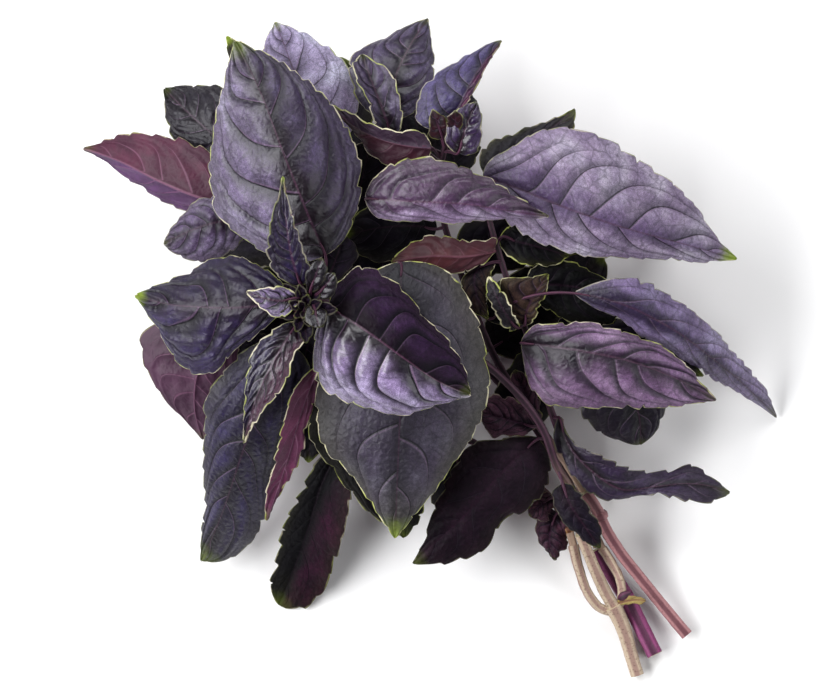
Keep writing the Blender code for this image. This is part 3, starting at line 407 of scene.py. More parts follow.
# %% Right shoot
RIGHT_PATH = [(57.6, -67.3, 12.1), (56, -64, 12), (53, -57, 10.5), (50, -46, 11), (46, -36, 16.5),
              (40, -20, 26), (34, 0, 37), (28.5, 14, 43), (22, 34, 47), (17, 52, 51)]
RIGHT_LEAVES = [
    Leaf("long_mauve", 0.99,
         rib=[(17, 57, 57), (27, 54, 60), (42, 48, 62), (62, 41, 60), (84, 35, 52), (102, 30, 42)],
         left=[(19, 62, 58), (26, 67, 59), (34, 72, 58), (43, 74, 57), (53, 72, 56), (63, 68, 54),
               (72, 62, 52), (79, 57, 50), (87, 49, 47), (95, 38, 44)],
         right=[(22, 48, 57), (26, 41, 57), (33, 36, 57), (45, 32, 56), (60, 30, 54), (77, 29.5, 49),
                (94, 29, 44)]),
    Leaf("behind_mauve", 0.96,
         rib=[(18, 58, 48), (27, 65, 46), (38, 72, 44), (48, 80, 42)],
         left=[(16, 63, 48), (18.5, 69, 46), (27, 72, 44), (38.5, 76.5, 43)],
         right=[(27, 59, 48), (39, 64, 46), (47.5, 72, 43)]),
    Leaf("black_green", 0.86,
         rib=[(23, 37, 48), (32, 35, 49), (46, 31, 45)],
         left=[(27, 42, 48), (36, 42, 47), (43, 37, 45)],
         right=[(25, 31, 48), (31, 28, 48), (40, 27.5, 46)]),
    Leaf("red_middle", 0.89,
         rib=[(21, 33, 52), (12, 31, 55), (0, 31, 55), (-13, 29, 52)],
         left=[(17, 28, 52), (9, 25, 52), (-2, 24, 51), (-9, 26, 50)],
         right=[(22, 36.5, 54), (14, 36.5, 55), (6, 37.5, 55), (1, 38.5, 54), (-8, 35, 53)], under=True),
    Leaf("olive_middle", 0.82,
         rib=[(21, 29, 49), (15, 26, 50), (15, 19, 51), (19, 10, 50)],
         left=[(21, 27, 49), (20, 22, 50), (19, 16, 50)], right=[(12, 25, 48), (9, 20, 49), (13, 13, 49)]),
    Leaf("olive_upright", 0.67,
         rib=[(31, 8, 44), (32, 13, 49), (35, 19, 53), (39, 25, 54)],
         left=[(27, 10, 46), (22, 18, 50), (24, 24, 53), (30, 24, 54)],
         right=[(34, 9, 47), (37, 15, 51), (39, 20, 53)]),
    Leaf("narrow_middle", 0.65,
         rib=[(29, 7, 45), (26, 10, 50), (22, 17, 54), (19, 24, 54)],
         left=[(25, 6, 48), (21, 12, 52), (18, 19, 54)], right=[(28, 12, 52), (25, 18, 55), (21, 23, 55)],
         crown=-0.1),
    Leaf("long_edge_on", 0.72,
         rib=[(48, 18.5, 55), (63, 15, 57), (78, 8, 51), (95, -4, 34), (107, -14, 17), (116, -23, 1.5)],
         left=[(55, 22, 56), (64, 24, 56), (72, 23, 54), (81, 17.5, 50), (91, 9.5, 41), (100.7, 0.5, 28),
               (109, -9, 15), (114, -17, 5)],
         right=[(56, 13, 52), (63, 10, 49), (70, 4.5, 45), (80, -1.5, 39), (91, -8.5, 27), (102, -14, 15),
                (111, -19.5, 4)], via=((26, 15, 48), (31, 17, 52), (38, 18.5, 54))),
    Leaf("right_glossy", 0.6,
         rib=[(30, 2, 44), (39, 1, 49), (52, -1, 53), (66, -4, 52), (82, -10, 48), (95, -17, 43)],
         left=[(34, 7.5, 46), (43, 9, 49), (53, 9.5, 50), (65, 6, 50), (77, 1, 48), (86, -6, 46)],
         right=[(31, -5, 43), (33, -13, 43), (38, -18, 43), (49, -20, 44), (58, -20, 45), (70, -20.5, 45),
                (84, -19, 44)], crown=0.16),
    Leaf("small_dark", 0.54,
         rib=[(57, -3, 35), (65, -10, 33), (69, -20, 28), (70, -32, 20)],
         left=[(66, -1, 34), (76, -8, 31), (79, -18, 27), (75, -28, 22)],
         right=[(56, -10, 34), (49.5, -19.5, 30), (55, -27.5, 25), (63, -31, 22)]),
    Leaf("wavy_low", 0.38,
         rib=[(43, -23, 30), (46, -32, 31), (54, -41, 30), (64, -47, 28), (75, -46, 26), (87, -45, 24),
              (100, -48, 20)],
         left=[(44.5, -26, 31), (48.5, -31.5, 33), (56, -34.5, 34), (65, -38.7, 32), (74, -40.5, 25),
               (81, -39.7, 21), (88, -38.7, 21), (93, -42, 21)],
         right=[(41, -30, 30), (47, -43, 29), (56, -50, 27), (66, -50, 24), (76, -49, 28), (83, -51, 29),
                (93, -52, 25)]),
    Leaf("shade_leaf", 0.76,
         rib=[(32, 21, 44), (46, 21, 45), (64, 15, 40)],
         left=[(34, 28, 44), (43, 30, 44), (52, 27, 43), (60, 22, 41)],
         right=[(37, 14, 42), (49, 8, 40), (60, 8, 39)]),
    Leaf("shade_right", 0.58,
         rib=[(52, 2, 38), (64, 4, 38), (78, -2, 35), (91, -9, 30)],
         left=[(56, 10, 38), (66, 10.5, 38), (78, 5, 35)], right=[(56, -4, 38), (68, -5, 37), (80, -9, 33)]),
    Leaf("inner_low", 0.50,
         rib=[(46, -11, 28), (56, -14, 24), (70, -12, 14), (84, -8, 2)],
         left=[(50, -3, 27), (62, 0, 22), (76, 0, 10)], right=[(50, -20, 24), (62, -24, 17), (77, -18, 6)]),
    Leaf("inner_far", 0.74,
         rib=[(42, 31, 38), (60, 38, 30), (80, 45, 14)],
         left=[(44, 40, 38), (60, 50, 29), (74, 54, 17)], right=[(52, 32, 35), (68, 34, 25), (79, 39, 14)]),
]
RIGHT_SHOOT = Shoot("right_shoot", RIGHT_PATH, RIGHT_LEAVES)

# %% Left shoot
LEFT_PATH = [(47.9, -66.6, 14.1), (43, -54, 12), (30, -41, 14), (8, -28, 18), (-15, -17, 24),
             (-36, -6, 30), (-54, 4, 36)]
LEFT_LEAVES = [
    Leaf("behind_hanging", 0.66,
         rib=[(-19, -4, 38), (-20, -20, 44), (-17, -40, 42), (-9, -63, 33)],
         left=[(-10, -8, 40), (-3, -22, 42), (0, -36, 40), (-1, -50, 37), (-4, -58, 35)],
         right=[(-30, -6, 40), (-40, -16, 42), (-41, -29, 40), (-35, -39, 38), (-26.3, -49, 36),
                (-19, -56, 34)]),
    Leaf("red_hidden", 0.975,
         rib=[(-65, 4, 45), (-76, -4, 46), (-79, -17, 40), (-76, -30, 34)],
         left=[(-64, -6, 43), (-68, -17, 39), (-70, -27, 35)],
         right=[(-77, 13, 45), (-90, 10, 45), (-97, 5, 44), (-96, -5, 42), (-91.5, -13, 39),
                (-85, -21, 36)], under=True),
    Leaf("bottom_folded", 0.6,
         rib=[(-29, -31, 29), (-36, -44, 26), (-41, -60, 17), (-46, -74, 7), (-51, -86, 1)],
         left=[(-25, -38, 30), (-26.3, -49, 32), (-28.5, -60, 25), (-32, -72, 14), (-37, -83, 5),
               (-44, -88, 1)],
         right=[(-37, -36, 27), (-44, -47, 23), (-50, -60, 14), (-53, -72, 7), (-54, -81, 2)]),
    Leaf("wilted_small", 0.09,
         rib=[(43, -55, 13), (40, -61, 15), (41.5, -70.5, 11)],
         left=[(46, -60, 14), (45, -67, 12)], right=[(36, -52.5, 14), (34.5, -58, 14), (38, -66, 11)],
         crown=0.3),
    Leaf("wilted_high", 0.13,
         rib=[(41, -50, 14), (37, -52, 18), (33, -56, 18)],
         left=[(41, -54, 16), (37, -58, 17)], right=[(38, -48, 17), (34, -51, 18)], crown=0.3),
    Leaf("inner_gap", 0.84,
         rib=[(-35, -10, 31), (-39, -24, 32), (-41, -38, 30)],
         left=[(-33, -18, 31), (-35, -33, 31)], right=[(-44, -18, 33), (-46, -33, 30)]),
    Leaf("inner_rosette", 0.93,
         rib=[(-48, 4, 36), (-51, 15, 39), (-52, 28, 40)],
         left=[(-58, 5, 36), (-63, 15, 38), (-60, 25, 40)],
         right=[(-41, 5, 37), (-38, 16, 39), (-44, 26, 40)]),
    Leaf("inner_centre", 0.8,
         rib=[(-31, 2, 33), (-22, 13, 37), (-8, 32, 33)],
         left=[(-37, 8, 33), (-37, 24, 34), (-24, 36, 33)],
         right=[(-20, 0, 33), (-8, 10, 34), (-3, 24, 32)]),
    Leaf("inner_side", 0.99,
         rib=[(-59, 9, 34), (-70, 14, 28), (-84, 14, 16)],
         left=[(-64, 3, 32), (-74, 2, 24), (-82, 6, 17)],
         right=[(-60, 18, 32), (-70, 24, 26), (-80, 22, 18)]),
    Leaf("inner_below", 0.42,
         rib=[(9, -34, 18), (9, -45, 15), (8, -60, 3)],
         left=[(17, -39, 16), (17, -51, 9)], right=[(1, -38, 17), (0, -50, 10)]),
    Leaf("inner_front_low", 0.57,
         rib=[(-10, -28, 21), (-13, -41, 15), (-13, -57, 3)],
         left=[(-3, -35, 19), (-4, -48, 10)], right=[(-20, -32, 18), (-24, -43, 11), (-20, -53, 5)]),
    Leaf("inner_left_low", 0.90,
         rib=[(-50, -8, 29), (-59, -21, 21), (-68, -37, 7)],
         left=[(-46, -17, 26), (-52, -29, 17), (-61, -38, 8)],
         right=[(-58, -3, 27), (-69, -14, 19), (-73, -28, 10)]),
]
LEFT_SHOOT = Shoot("left_shoot", LEFT_PATH, LEFT_LEAVES)

# %% Back shoot, which the others lie on
BACK_PATH = [(55.8, -66.6, 4.6), (50, -52, 5), (36, -28, 7), (12, 0, 10), (-12, 20, 16), (-34, 40, 28),
             (-46, 54, 40)]
BACK_LEAVES = [
    Leaf("pale_rear", 0.965,
         rib=[(-38, 64, 48), (-42, 78, 50), (-47, 96, 46), (-52, 109, 40)],
         left=[(-46, 66, 48), (-54, 78, 48), (-57, 90, 46), (-56, 101, 42)],
         right=[(-29, 68, 47), (-24, 78, 47), (-25, 90, 45), (-32, 99, 43), (-42, 106, 41)]),
    Leaf("dark_corner", 0.99,
         rib=[(-56, 60, 40), (-67, 67, 40), (-79, 77, 36), (-89, 87, 28)],
         left=[(-63, 55, 38), (-77.5, 60.5, 36), (-87, 71, 33), (-89, 80, 30)],
         right=[(-55, 68, 41), (-60, 81, 38), (-71, 88, 34), (-81, 88.5, 30)]),
    Leaf("magenta_side", 0.98,
         rib=[(-62, 47, 46), (-78, 51, 47), (-90, 56, 44), (-104, 63, 36), (-116, 67, 27)],
         left=[(-70, 43, 45), (-80, 45, 42), (-88, 48.5, 39), (-96, 52.5, 36), (-103, 58, 31),
               (-109, 63, 28)],
         right=[(-65, 56, 48), (-72, 65, 48), (-82, 70.5, 46), (-92, 72, 42), (-101, 72.3, 37),
                (-109, 70, 31)], under=True),
    Leaf("slate_side", 0.95,
         rib=[(-62, 43, 54), (-72, 42, 56), (-81, 39, 53), (-89, 35, 48)],
         left=[(-63, 36, 52), (-69, 30.5, 50), (-76, 29, 49), (-84, 30.5, 48)],
         right=[(-65, 49, 55), (-75, 51, 54), (-82, 46, 51), (-87, 40, 49)]),
    Leaf("green_tip", 0.975,
         rib=[(-50, 66, 50), (-55, 78, 58), (-61, 92, 60), (-68, 104, 58)],
         left=[(-58, 68, 50), (-65, 78, 55), (-67.3, 89, 58), (-68, 97.5, 58)],
         right=[(-46, 74, 54), (-49, 86, 59), (-56, 97, 61), (-62, 102, 60)]),
    Leaf("inner_up", 0.8,
         rib=[(-27, 37, 26), (-24, 52, 34), (-20, 70, 34)],
         left=[(-34, 44, 27), (-34, 57, 32), (-26, 68, 34)],
         right=[(-18, 42, 28), (-11, 54, 34), (-13, 66, 34)]),
    Leaf("inner_neck", 0.3,
         rib=[(27, -25, 13), (33, -15, 16), (40, -3, 16)],
         left=[(21, -17, 15), (25, -7, 17), (34, 2, 16)],
         right=[(34, -27, 14), (43, -17, 15), (46, -6, 15)]),
    Leaf("pressed_front", 0.52,
         rib=[(5, 2, 5), (-6, -8, 1), (-22, -20, 0.4), (-40, -33, 0.4)],
         left=[(4, -8, 3), (-4, -22, 0.4), (-20, -33, 0.4), (-34, -37, 0.4)],
         right=[(-4, 6, 4), (-18, 0, 1), (-32, -10, 0.4), (-40, -22, 0.4)], crown=0.0),
    Leaf("pressed_right", 0.46,
         rib=[(20, 0, 6), (32, 8, 3), (47, 20, 0.4), (58, 32, 0.4)],
         left=[(18, 10, 4), (26, 22, 1), (40, 32, 0.4), (52, 35, 0.4)],
         right=[(30, -4, 4), (43, 1, 1), (56, 12, 0.4), (60, 23, 0.4)], crown=0.0),
    Leaf("pressed_left", 0.86,
         rib=[(-38, 40, 22), (-52, 41, 14), (-66, 41, 5), (-84, 42, 0.4)],
         left=[(-42, 32, 18), (-55, 27, 9), (-70, 30, 2), (-80, 35, 0.4)],
         right=[(-43, 50, 18), (-55, 55, 10), (-70, 55, 3), (-80, 49, 0.4)]),
    Leaf("inner_back_left", 0.93,
         rib=[(-50, 57, 31), (-65, 63, 23), (-83, 71, 7)],
         left=[(-56, 50, 30), (-70, 53, 19), (-83, 61, 8)],
         right=[(-57, 67, 29), (-70, 76, 19), (-81, 80, 8)]),
    Leaf("pressed_rear", 0.9,
         rib=[(-36, 50, 24), (-36, 64, 16), (-34, 80, 6), (-30, 98, 0.4)],
         left=[(-46, 54, 20), (-51, 68, 11), (-46, 84, 2), (-38, 94, 0.4)],
         right=[(-26, 54, 20), (-20, 68, 11), (-19, 82, 2), (-22, 92, 0.4)]),
]
BACK_SHOOT = Shoot("back_shoot", BACK_PATH, BACK_LEAVES)

# %% [markdown]
# ### Leaflets at the growing tip
#
# The shoot nearest the eye ends in a tuft of leaflets that have hardly opened. They are too small and too
# many to set out one by one. On the plant each new leaflet turns from the last by about the golden angle
# and stands steeper than the one before, and the same rule places them here.

# %% Leaflets by the golden angle
def unit(vector):
    return vector / np.linalg.norm(vector, axis=-1, keepdims=True)


TUFT_CENTRE = np.array([-42.0, 13.0, 84.5])
TUFT_LEAFLETS = 16
TUFT_STRETCH = 1.35
GOLDEN_ANGLE = math.radians(137.5)
LEAFLET_RIB = (0, 0.35, 0.7, 1)
LEAFLET_OUTLINE = ((0.3, 1.0), (0.65, 0.8))


def leaflet(number):
    """A young leaflet folded along its midrib. The first ones lie flattest and reach furthest."""
    age = 1 - number / TUFT_LEAFLETS
    turn = number * GOLDEN_ANGLE
    out = np.array([math.cos(turn), TUFT_STRETCH * math.sin(turn), 0])
    along = unit(out * (0.35 + 0.65 * age) + np.array([0, 0, 0.9 - 0.6 * age]))
    across = unit(np.cross((0, 0, 1), along))
    length, half = 3.5 + 5.0 * age, 1.3 + 1.7 * age
    base = TUFT_CENTRE + out * (0.3 + 2.6 * age)
    lift = np.array([0, 0, 0.7 * half])
    rib = [base + along * length * share for share in LEAFLET_RIB]
    edges = [[base + along * length * share + across * half * sign * wide + lift * wide
              for share, wide in LEAFLET_OUTLINE] for sign in (1, -1)]
    return Leaf(f"tuft_{number}", 0.99, rib, *edges, crown=-0.1)


FRONT_SHOOT.leaves += [leaflet(number) for number in range(TUFT_LEAFLETS)]

# Small leaves in the shade of the tuft, which keep the gaps around it dark
FRONT_SHOOT.leaves += [
    Leaf("tuft_shade_low", 0.93,
         rib=[(-38, 10, 60), (-41, 1, 58), (-43, -9, 53)],
         left=[(-33, 4, 58), (-35, -4, 55)], right=[(-47, 4, 58), (-49, -4, 54)]),
    Leaf("tuft_shade_high", 0.93,
         rib=[(-36, 20, 60), (-32, 29, 58), (-29, 38, 54)],
         left=[(-41, 25, 58), (-38, 34, 55)], right=[(-28, 25, 58), (-24, 33, 54)]),
    Leaf("tuft_shade_left", 0.93,
         rib=[(-52, 2, 46), (-60, 0, 44), (-68, -2, 40)],
         left=[(-58, -5, 45), (-65, -6, 42)], right=[(-58, 6, 46), (-65, 4, 42)]),
]
print("tuft:", TUFT_LEAFLETS, "leaflets and 3 small leaves below them")

# %% All shoots, and the bract at the fork
SHOOTS = [FRONT_SHOOT, TOP_SHOOT, RIGHT_SHOOT, LEFT_SHOOT, BACK_SHOOT]

# The dry bract that still clings to the fork of the pale stem
BRACT = Leaf("bract", 0.0,
             rib=[(62.5, -85.5, 10.5), (67, -84.2, 12.5), (72, -84.3, 13)],
             left=[(66.5, -82.5, 12.6), (70.5, -83, 13)], right=[(66.5, -85.7, 12.3), (70.5, -85.7, 13)])
print([f"{shoot.name}: {len(shoot.leaves)} leaves" for shoot in SHOOTS])

# %% [markdown]
# ## Colours and looks
#
# The upper face is slate to purple, darker and redder towards the midrib. Young leaves are blue violet. The
# lower face is magenta, and shade leaves are almost black. Tones that many leaves share have a name below,
# all judged. A leaf that stands out in the photograph has tones of its own, so they stand in its
# look, beside its gloss, the strength of its pale margin, the green of its tip, how deep the blade is
# quilted between its side veins and how many of these it has on each side. Where a fold turns half a leaf
# to the light, that half takes another tone or gloss.

# %% Palette
SLATE = eye(0.24, 0.21, 0.28)
LIGHT_SLATE = eye(0.40, 0.37, 0.45)
PALE_SLATE = eye(0.54, 0.52, 0.60)
DARK_SLATE = eye(0.16, 0.14, 0.19)
PURPLE = eye(0.19, 0.12, 0.20)
BLUE_VIOLET = eye(0.22, 0.19, 0.31)
OLIVE_SLATE = eye(0.25, 0.24, 0.26)
OLIVE = eye(0.28, 0.28, 0.17)
OLIVE_BROWN = eye(0.30, 0.25, 0.21)
NIGHT = eye(0.06, 0.05, 0.07)
NIGHT_GREEN = eye(0.05, 0.07, 0.05)
PLUM = eye(0.13, 0.06, 0.12)
DARK_PURPLE = eye(0.12, 0.07, 0.12)
MAGENTA = eye(0.40, 0.16, 0.30)
DARK_RED = eye(0.22, 0.06, 0.12)
RED_BROWN = eye(0.31, 0.14, 0.16)
BROWN = eye(0.24, 0.16, 0.14)
LEAF_GREEN = eye(0.52, 0.60, 0.18)
MARGIN_CREAM = eye(0.92, 0.89, 0.76)
MARGIN_GREEN = eye(0.70, 0.73, 0.38)
PINK_VEIN = eye(0.50, 0.34, 0.44)
# The colour of pale veins, and of the painted highlight just past each side vein
LILAC_VEIN_AND_HIGHLIGHT = eye(0.50, 0.42, 0.50)
# Painted shade for the low ground before each side vein
PAINTED_SHADE = eye(0.08, 0.05, 0.10)
VIOLET_BLUSH = eye(0.76, 0.68, 0.78)


@dataclass
class Look:
    """How one leaf is finished. Shares run from 0 to 1, and heights are in millimetres.

    face, heart and back colour the upper face, the skin along its midrib and the lower face. gloss, edge,
    tip, olive and pale_veins are shares: of shine, pale margin, green tip, aged skin and light veins. quilt,
    pucker and wave are heights, and quilt may be a pair, for the left and right half. laterals counts the
    side veins, and valley is how much painted shade darkens the skin before them. left_gloss is a factor
    for the left half. left_face and right_face colour one half of the face that shows. On some leaves that
    half has a tone of its own or shows the lower face where a fold turns it up; on others its paler tone is
    painted sheen, where that half faces the light.
    """

    face: tuple = SLATE
    heart: tuple = PLUM
    back: tuple = MAGENTA
    gloss: float = 0.4
    edge: float = 0.5
    tip: float = 0.15
    olive: float = 0.1
    quilt: float | tuple = 0.6
    pucker: float = 0.1
    laterals: int = 6
    wave: float = 0.7
    pale_veins: float = 0.0
    valley: float = 0.7
    left_gloss: float = 1.0
    left_face: tuple = None
    right_face: tuple = None


LEAFLET_LOOK = Look(eye(0.17, 0.11, 0.20), NIGHT, gloss=0.3, edge=0.06, quilt=0.5, pucker=0.2, laterals=4,
                    wave=0.2, valley=0.8)
SHINY_LEAFLET_LOOK = Look(DARK_PURPLE, NIGHT, gloss=0.75, edge=0.06, pucker=0.2, laterals=4, wave=0.2,
                          valley=0.9)
RED_LEAFLET_LOOK = Look(DARK_RED, DARK_RED, DARK_RED, gloss=0.6, edge=0.3, quilt=0.2, laterals=3, wave=0.2)
WILTED_LOOK = Look(eye(0.42, 0.31, 0.35), PLUM, BROWN, gloss=0.2, edge=0.2, pucker=0.6, wave=1.3,
                   pale_veins=0.3)
# The pale tones of pale_rear, long_mauve, crosswise, long_edge_on and right_glossy are partly their own and
# partly painted sheen
LOOKS = {
    "upright_young": Look(SLATE, BLUE_VIOLET, gloss=0.8, edge=0.25, tip=0.9, quilt=0.8, pucker=0.4,
                          laterals=9, wave=0.2, valley=0.8),
    "folded_young": Look(BLUE_VIOLET, gloss=0.8, edge=0.6, tip=0.2, quilt=(0.8, 0.6), pucker=0.4,
                         laterals=8, wave=0.3, valley=0.8, left_face=eye(0.34, 0.15, 0.27)),
    "curled_young": Look(eye(0.60, 0.56, 0.66), NIGHT, gloss=0.9, edge=0.7, quilt=1.3, laterals=5,
                         wave=0.2, valley=1.0),
    "tip_leaflet_right": SHINY_LEAFLET_LOOK,
    "tip_leaflet_low": SHINY_LEAFLET_LOOK,
    "tip_leaflet_up": SHINY_LEAFLET_LOOK,
    "left_quilted": Look(eye(0.26, 0.22, 0.36), PURPLE, gloss=0.6, edge=0.8, tip=0.8, olive=0.0,
                         quilt=(1.7, 1.3), pucker=0.3, laterals=5, wave=0.6, valley=0.9,
                         right_face=eye(0.19, 0.15, 0.27)),
    # The pale right half of centre_glossy is painted sheen, on the half that faces the light
    "centre_glossy": Look(DARK_PURPLE, gloss=1.0, edge=1.0, tip=0.2, quilt=(0.9, 1.5), pucker=0.15,
                          wave=0.6, valley=0.9, left_gloss=0.3, left_face=eye(0.27, 0.19, 0.30),
                          right_face=eye(0.70, 0.67, 0.76)),
    # The paler left half of broad_upright is painted sheen, on the half that faces the light
    "broad_upright": Look(eye(0.36, 0.33, 0.42), gloss=0.7, edge=0.8, tip=0.4, quilt=(1.7, 1.3),
                          pucker=0.06, wave=0.9, valley=0.8, left_face=eye(0.55, 0.53, 0.60)),
    "long_drooping": Look(eye(0.25, 0.22, 0.36), DARK_SLATE, gloss=0.55, edge=0.3, tip=0.3, olive=0.35,
                          pucker=0.2, laterals=7),
    "magenta_low": Look(PURPLE, gloss=0.3, edge=0.6, pale_veins=0.9, laterals=5),
    "broad_hanging": Look(eye(0.36, 0.35, 0.39), eye(0.20, 0.19, 0.22), edge=1.0, tip=0.6, olive=0.5,
                          quilt=0.5, pucker=0.08, laterals=5, wave=0.8, valley=0.2),
    "neck_small": Look(DARK_SLATE, gloss=0.25, edge=0.1, quilt=0.2, pale_veins=0.15, valley=0.2),
    "rear_spread": Look(eye(0.42, 0.40, 0.48), gloss=0.75, pale_veins=0.3),
    "cupped": Look(LIGHT_SLATE, DARK_PURPLE, gloss=0.6, edge=0.6, quilt=0.7, laterals=5, wave=0.6),
    "violet_curved": Look(eye(0.40, 0.38, 0.52), BLUE_VIOLET, gloss=0.5, edge=0.3, quilt=(0.5, 0.4),
                          right_face=MAGENTA),
    "red_reversed": Look(BLUE_VIOLET, PLUM, DARK_RED, gloss=0.35, edge=0.8, pale_veins=0.2,
                         right_face=PURPLE),
    "quilted_young": Look(eye(0.33, 0.27, 0.40), gloss=0.9, edge=0.4, quilt=0.9, pucker=0.4, laterals=5,
                          wave=0.3),
    "red_tip_left": RED_LEAFLET_LOOK,
    "red_tip_right": RED_LEAFLET_LOOK,
    "crosswise": Look(eye(0.70, 0.66, 0.73), eye(0.38, 0.29, 0.39), gloss=0.75, edge=0.6,
                      quilt=(1.2, 0.45), pucker=0.12, pale_veins=0.3, wave=0.9, valley=0.5,
                      left_face=eye(0.36, 0.30, 0.36)),
    "low_dark": Look(PLUM, eye(0.22, 0.15, 0.20), gloss=0.0, edge=0.15, quilt=0.25, pucker=0.05,
                     pale_veins=0.12, valley=0.3),
    "wilted": WILTED_LOOK,
    "wilted_tall": WILTED_LOOK,
    "wilted_small": WILTED_LOOK,
    "wilted_high": WILTED_LOOK,
    "long_mauve": Look(eye(0.67, 0.655, 0.69), eye(0.42, 0.37, 0.47), gloss=0.5, edge=0.4, tip=1.0,
                       olive=0.0, quilt=(1.0, 0.9), pucker=0.15, laterals=7, valley=0.45),
    "behind_mauve": Look(DARK_SLATE, edge=0.4, olive=0.9, quilt=0.5),
    # The near-black tone of black_green is partly painted shade, under the leaves above it
    "black_green": Look(NIGHT_GREEN, NIGHT, gloss=0.2, edge=0.9, olive=0.5),
    "red_middle": Look(DARK_PURPLE, PLUM, RED_BROWN, gloss=0.2, edge=1.0, olive=0.5, pale_veins=0.2,
                       wave=0.9),
    "olive_middle": Look(OLIVE_BROWN, DARK_PURPLE, gloss=0.3, edge=0.8, olive=0.6),
    "olive_upright": Look(OLIVE_BROWN, OLIVE_BROWN, gloss=0.3, olive=0.4, pale_veins=0.3),
    "narrow_middle": Look(DARK_PURPLE, edge=0.8),
    "long_edge_on": Look(eye(0.62, 0.59, 0.69), eye(0.28, 0.24, 0.34), gloss=0.6, edge=0.25, tip=0.2,
                         quilt=(0.35, 0.4), pale_veins=0.3, laterals=7, valley=0.3),
    "right_glossy": Look(eye(0.58, 0.50, 0.59), eye(0.17, 0.08, 0.17), gloss=0.65, edge=0.7, tip=0.1,
                         quilt=0.9, pale_veins=0.3, valley=0.8),
    "small_dark": Look(eye(0.18, 0.14, 0.22), NIGHT, gloss=0.6, edge=0.1, quilt=0.4),
    "wavy_low": Look(eye(0.28, 0.23, 0.33), DARK_PURPLE, gloss=0.55, edge=0.15, quilt=0.12, pucker=0.03,
                     pale_veins=0.4, laterals=5, valley=0.2),
    # The near-black tone of shade_leaf is partly painted shade, deep in the bunch
    "shade_leaf": Look(NIGHT_GREEN, NIGHT, gloss=0.2, edge=0.6),
    "behind_hanging": Look(NIGHT, NIGHT, gloss=0.2, olive=0.2),
    "red_hidden": Look(DARK_PURPLE, PLUM, eye(0.31, 0.19, 0.28), gloss=0.45, edge=0.25, quilt=(0.4, 0.6),
                       pale_veins=0.5),
    "bottom_folded": Look(NIGHT, NIGHT, gloss=0.0, edge=0.3, olive=0.2, quilt=0.15, pucker=0.03,
                          valley=0.0, left_face=eye(0.24, 0.09, 0.19)),
    "pale_rear": Look(eye(0.80, 0.81, 0.86), PALE_SLATE, gloss=0.6, edge=0.7, tip=0.4, pucker=0.04,
                      valley=0.4),
    "dark_corner": Look(DARK_SLATE, gloss=0.6, edge=0.3, quilt=0.7, pucker=0.3),
    "magenta_side": Look(PURPLE, PLUM, eye(0.30, 0.10, 0.20), edge=0.4, pale_veins=0.5,
                         left_face=eye(0.34, 0.20, 0.38)),
    "slate_side": Look(eye(0.52, 0.49, 0.57), PURPLE, gloss=0.5, edge=0.3, olive=0.3, quilt=0.8),
    "green_tip": Look(OLIVE_SLATE, DARK_SLATE, gloss=0.3, edge=0.9, tip=1.0, olive=0.8),
}
# Hidden leaves take a dark look, partly painted shade, so the gaps between the leaves stay dark
SHADE_LOOK = Look(DARK_SLATE, NIGHT, gloss=0.2, edge=0.3, tip=0.3, olive=0.3)
ALL_LEAVES = [leaf for shoot in SHOOTS for leaf in shoot.leaves]
LOOKS |= {leaf.name: LEAFLET_LOOK for leaf in ALL_LEAVES if leaf.name.startswith("tuft_")}
print(len(ALL_LEAVES), "leaves,", len(LOOKS), "with a look of their own")

# %% [markdown]
# ## Curves and blades
#
# A blade could be a subdivided plane bent by hand, or a grid laid between curves. The grid is better here:
# its rows run from margin to margin and its columns from base to tip, so every point knows its share of the
# length and its reach from the midrib. Teeth, quilting, vein grooves and colour all follow these two
# numbers, as they do on the plant, where the side veins set out from the midrib and bow towards the tip.

# %% Smooth curves through hand-set points
FINE_STEPS = 64


def smooth(points, shares):
    """Points at these shares of the length of a smooth curve through the given points."""
    points = np.array(points, float)
    knots = np.concatenate([[0], np.cumsum(np.linalg.norm(np.diff(points, axis=0), axis=1))])
    slopes = np.gradient(points, knots, axis=0, edge_order=1 if len(points) < 3 else 2)
    fine = np.linspace(0, knots[-1], FINE_STEPS * len(points))
    span = np.clip(np.searchsorted(knots, fine, side="right") - 1, 0, len(points) - 2)
    width = (knots[span + 1] - knots[span])[:, None]
    u = (fine[:, None] - knots[span][:, None]) / width
    curve = (
        (2 * u**3 - 3 * u**2 + 1) * points[span]
        + (u**3 - 2 * u**2 + u) * width * slopes[span]
        + (3 * u**2 - 2 * u**3) * points[span + 1]
        + (u**3 - u**2) * width * slopes[span + 1]
    )
    length = np.concatenate([[0], np.cumsum(np.linalg.norm(np.diff(curve, axis=0), axis=1))])
    wanted = np.asarray(shares) * length[-1]
    return np.stack([np.interp(wanted, length, curve[:, axis]) for axis in range(3)], axis=1)


def sideways(vector, along):
    """The direction of vector, square to along."""
    along = unit(along)
    return unit(vector - along * np.dot(vector, along))


def ease(value, low, high):
    """0 below low, 1 above high, and a smooth step between them."""
    u = np.clip((value - low) / (high - low), 0, 1)
    return u * u * (3 - 2 * u)


def length_of(points):
    return np.linalg.norm(np.diff(np.array(points, float), axis=0), axis=1).sum()


# %% The two margins
BASE_WIDTH = 1.6
TIP_WIDTH = 0.7
TOOTH_LENGTH = 6.0
TOOTH_NOTCH = 1.6


def margin(leaf, points, shares):
    """One edge of a blade, from beside its base to beside its tip."""
    rib = np.array(leaf.rib, float)
    out = np.array(points, float)
    start = rib[0] + sideways(out[0] - rib[0], rib[1] - rib[0]) * BASE_WIDTH / 2
    end = rib[-1] + sideways(out[-1] - rib[-1], rib[-1] - rib[-2]) * TIP_WIDTH / 2
    return smooth([start, *out, end], shares)


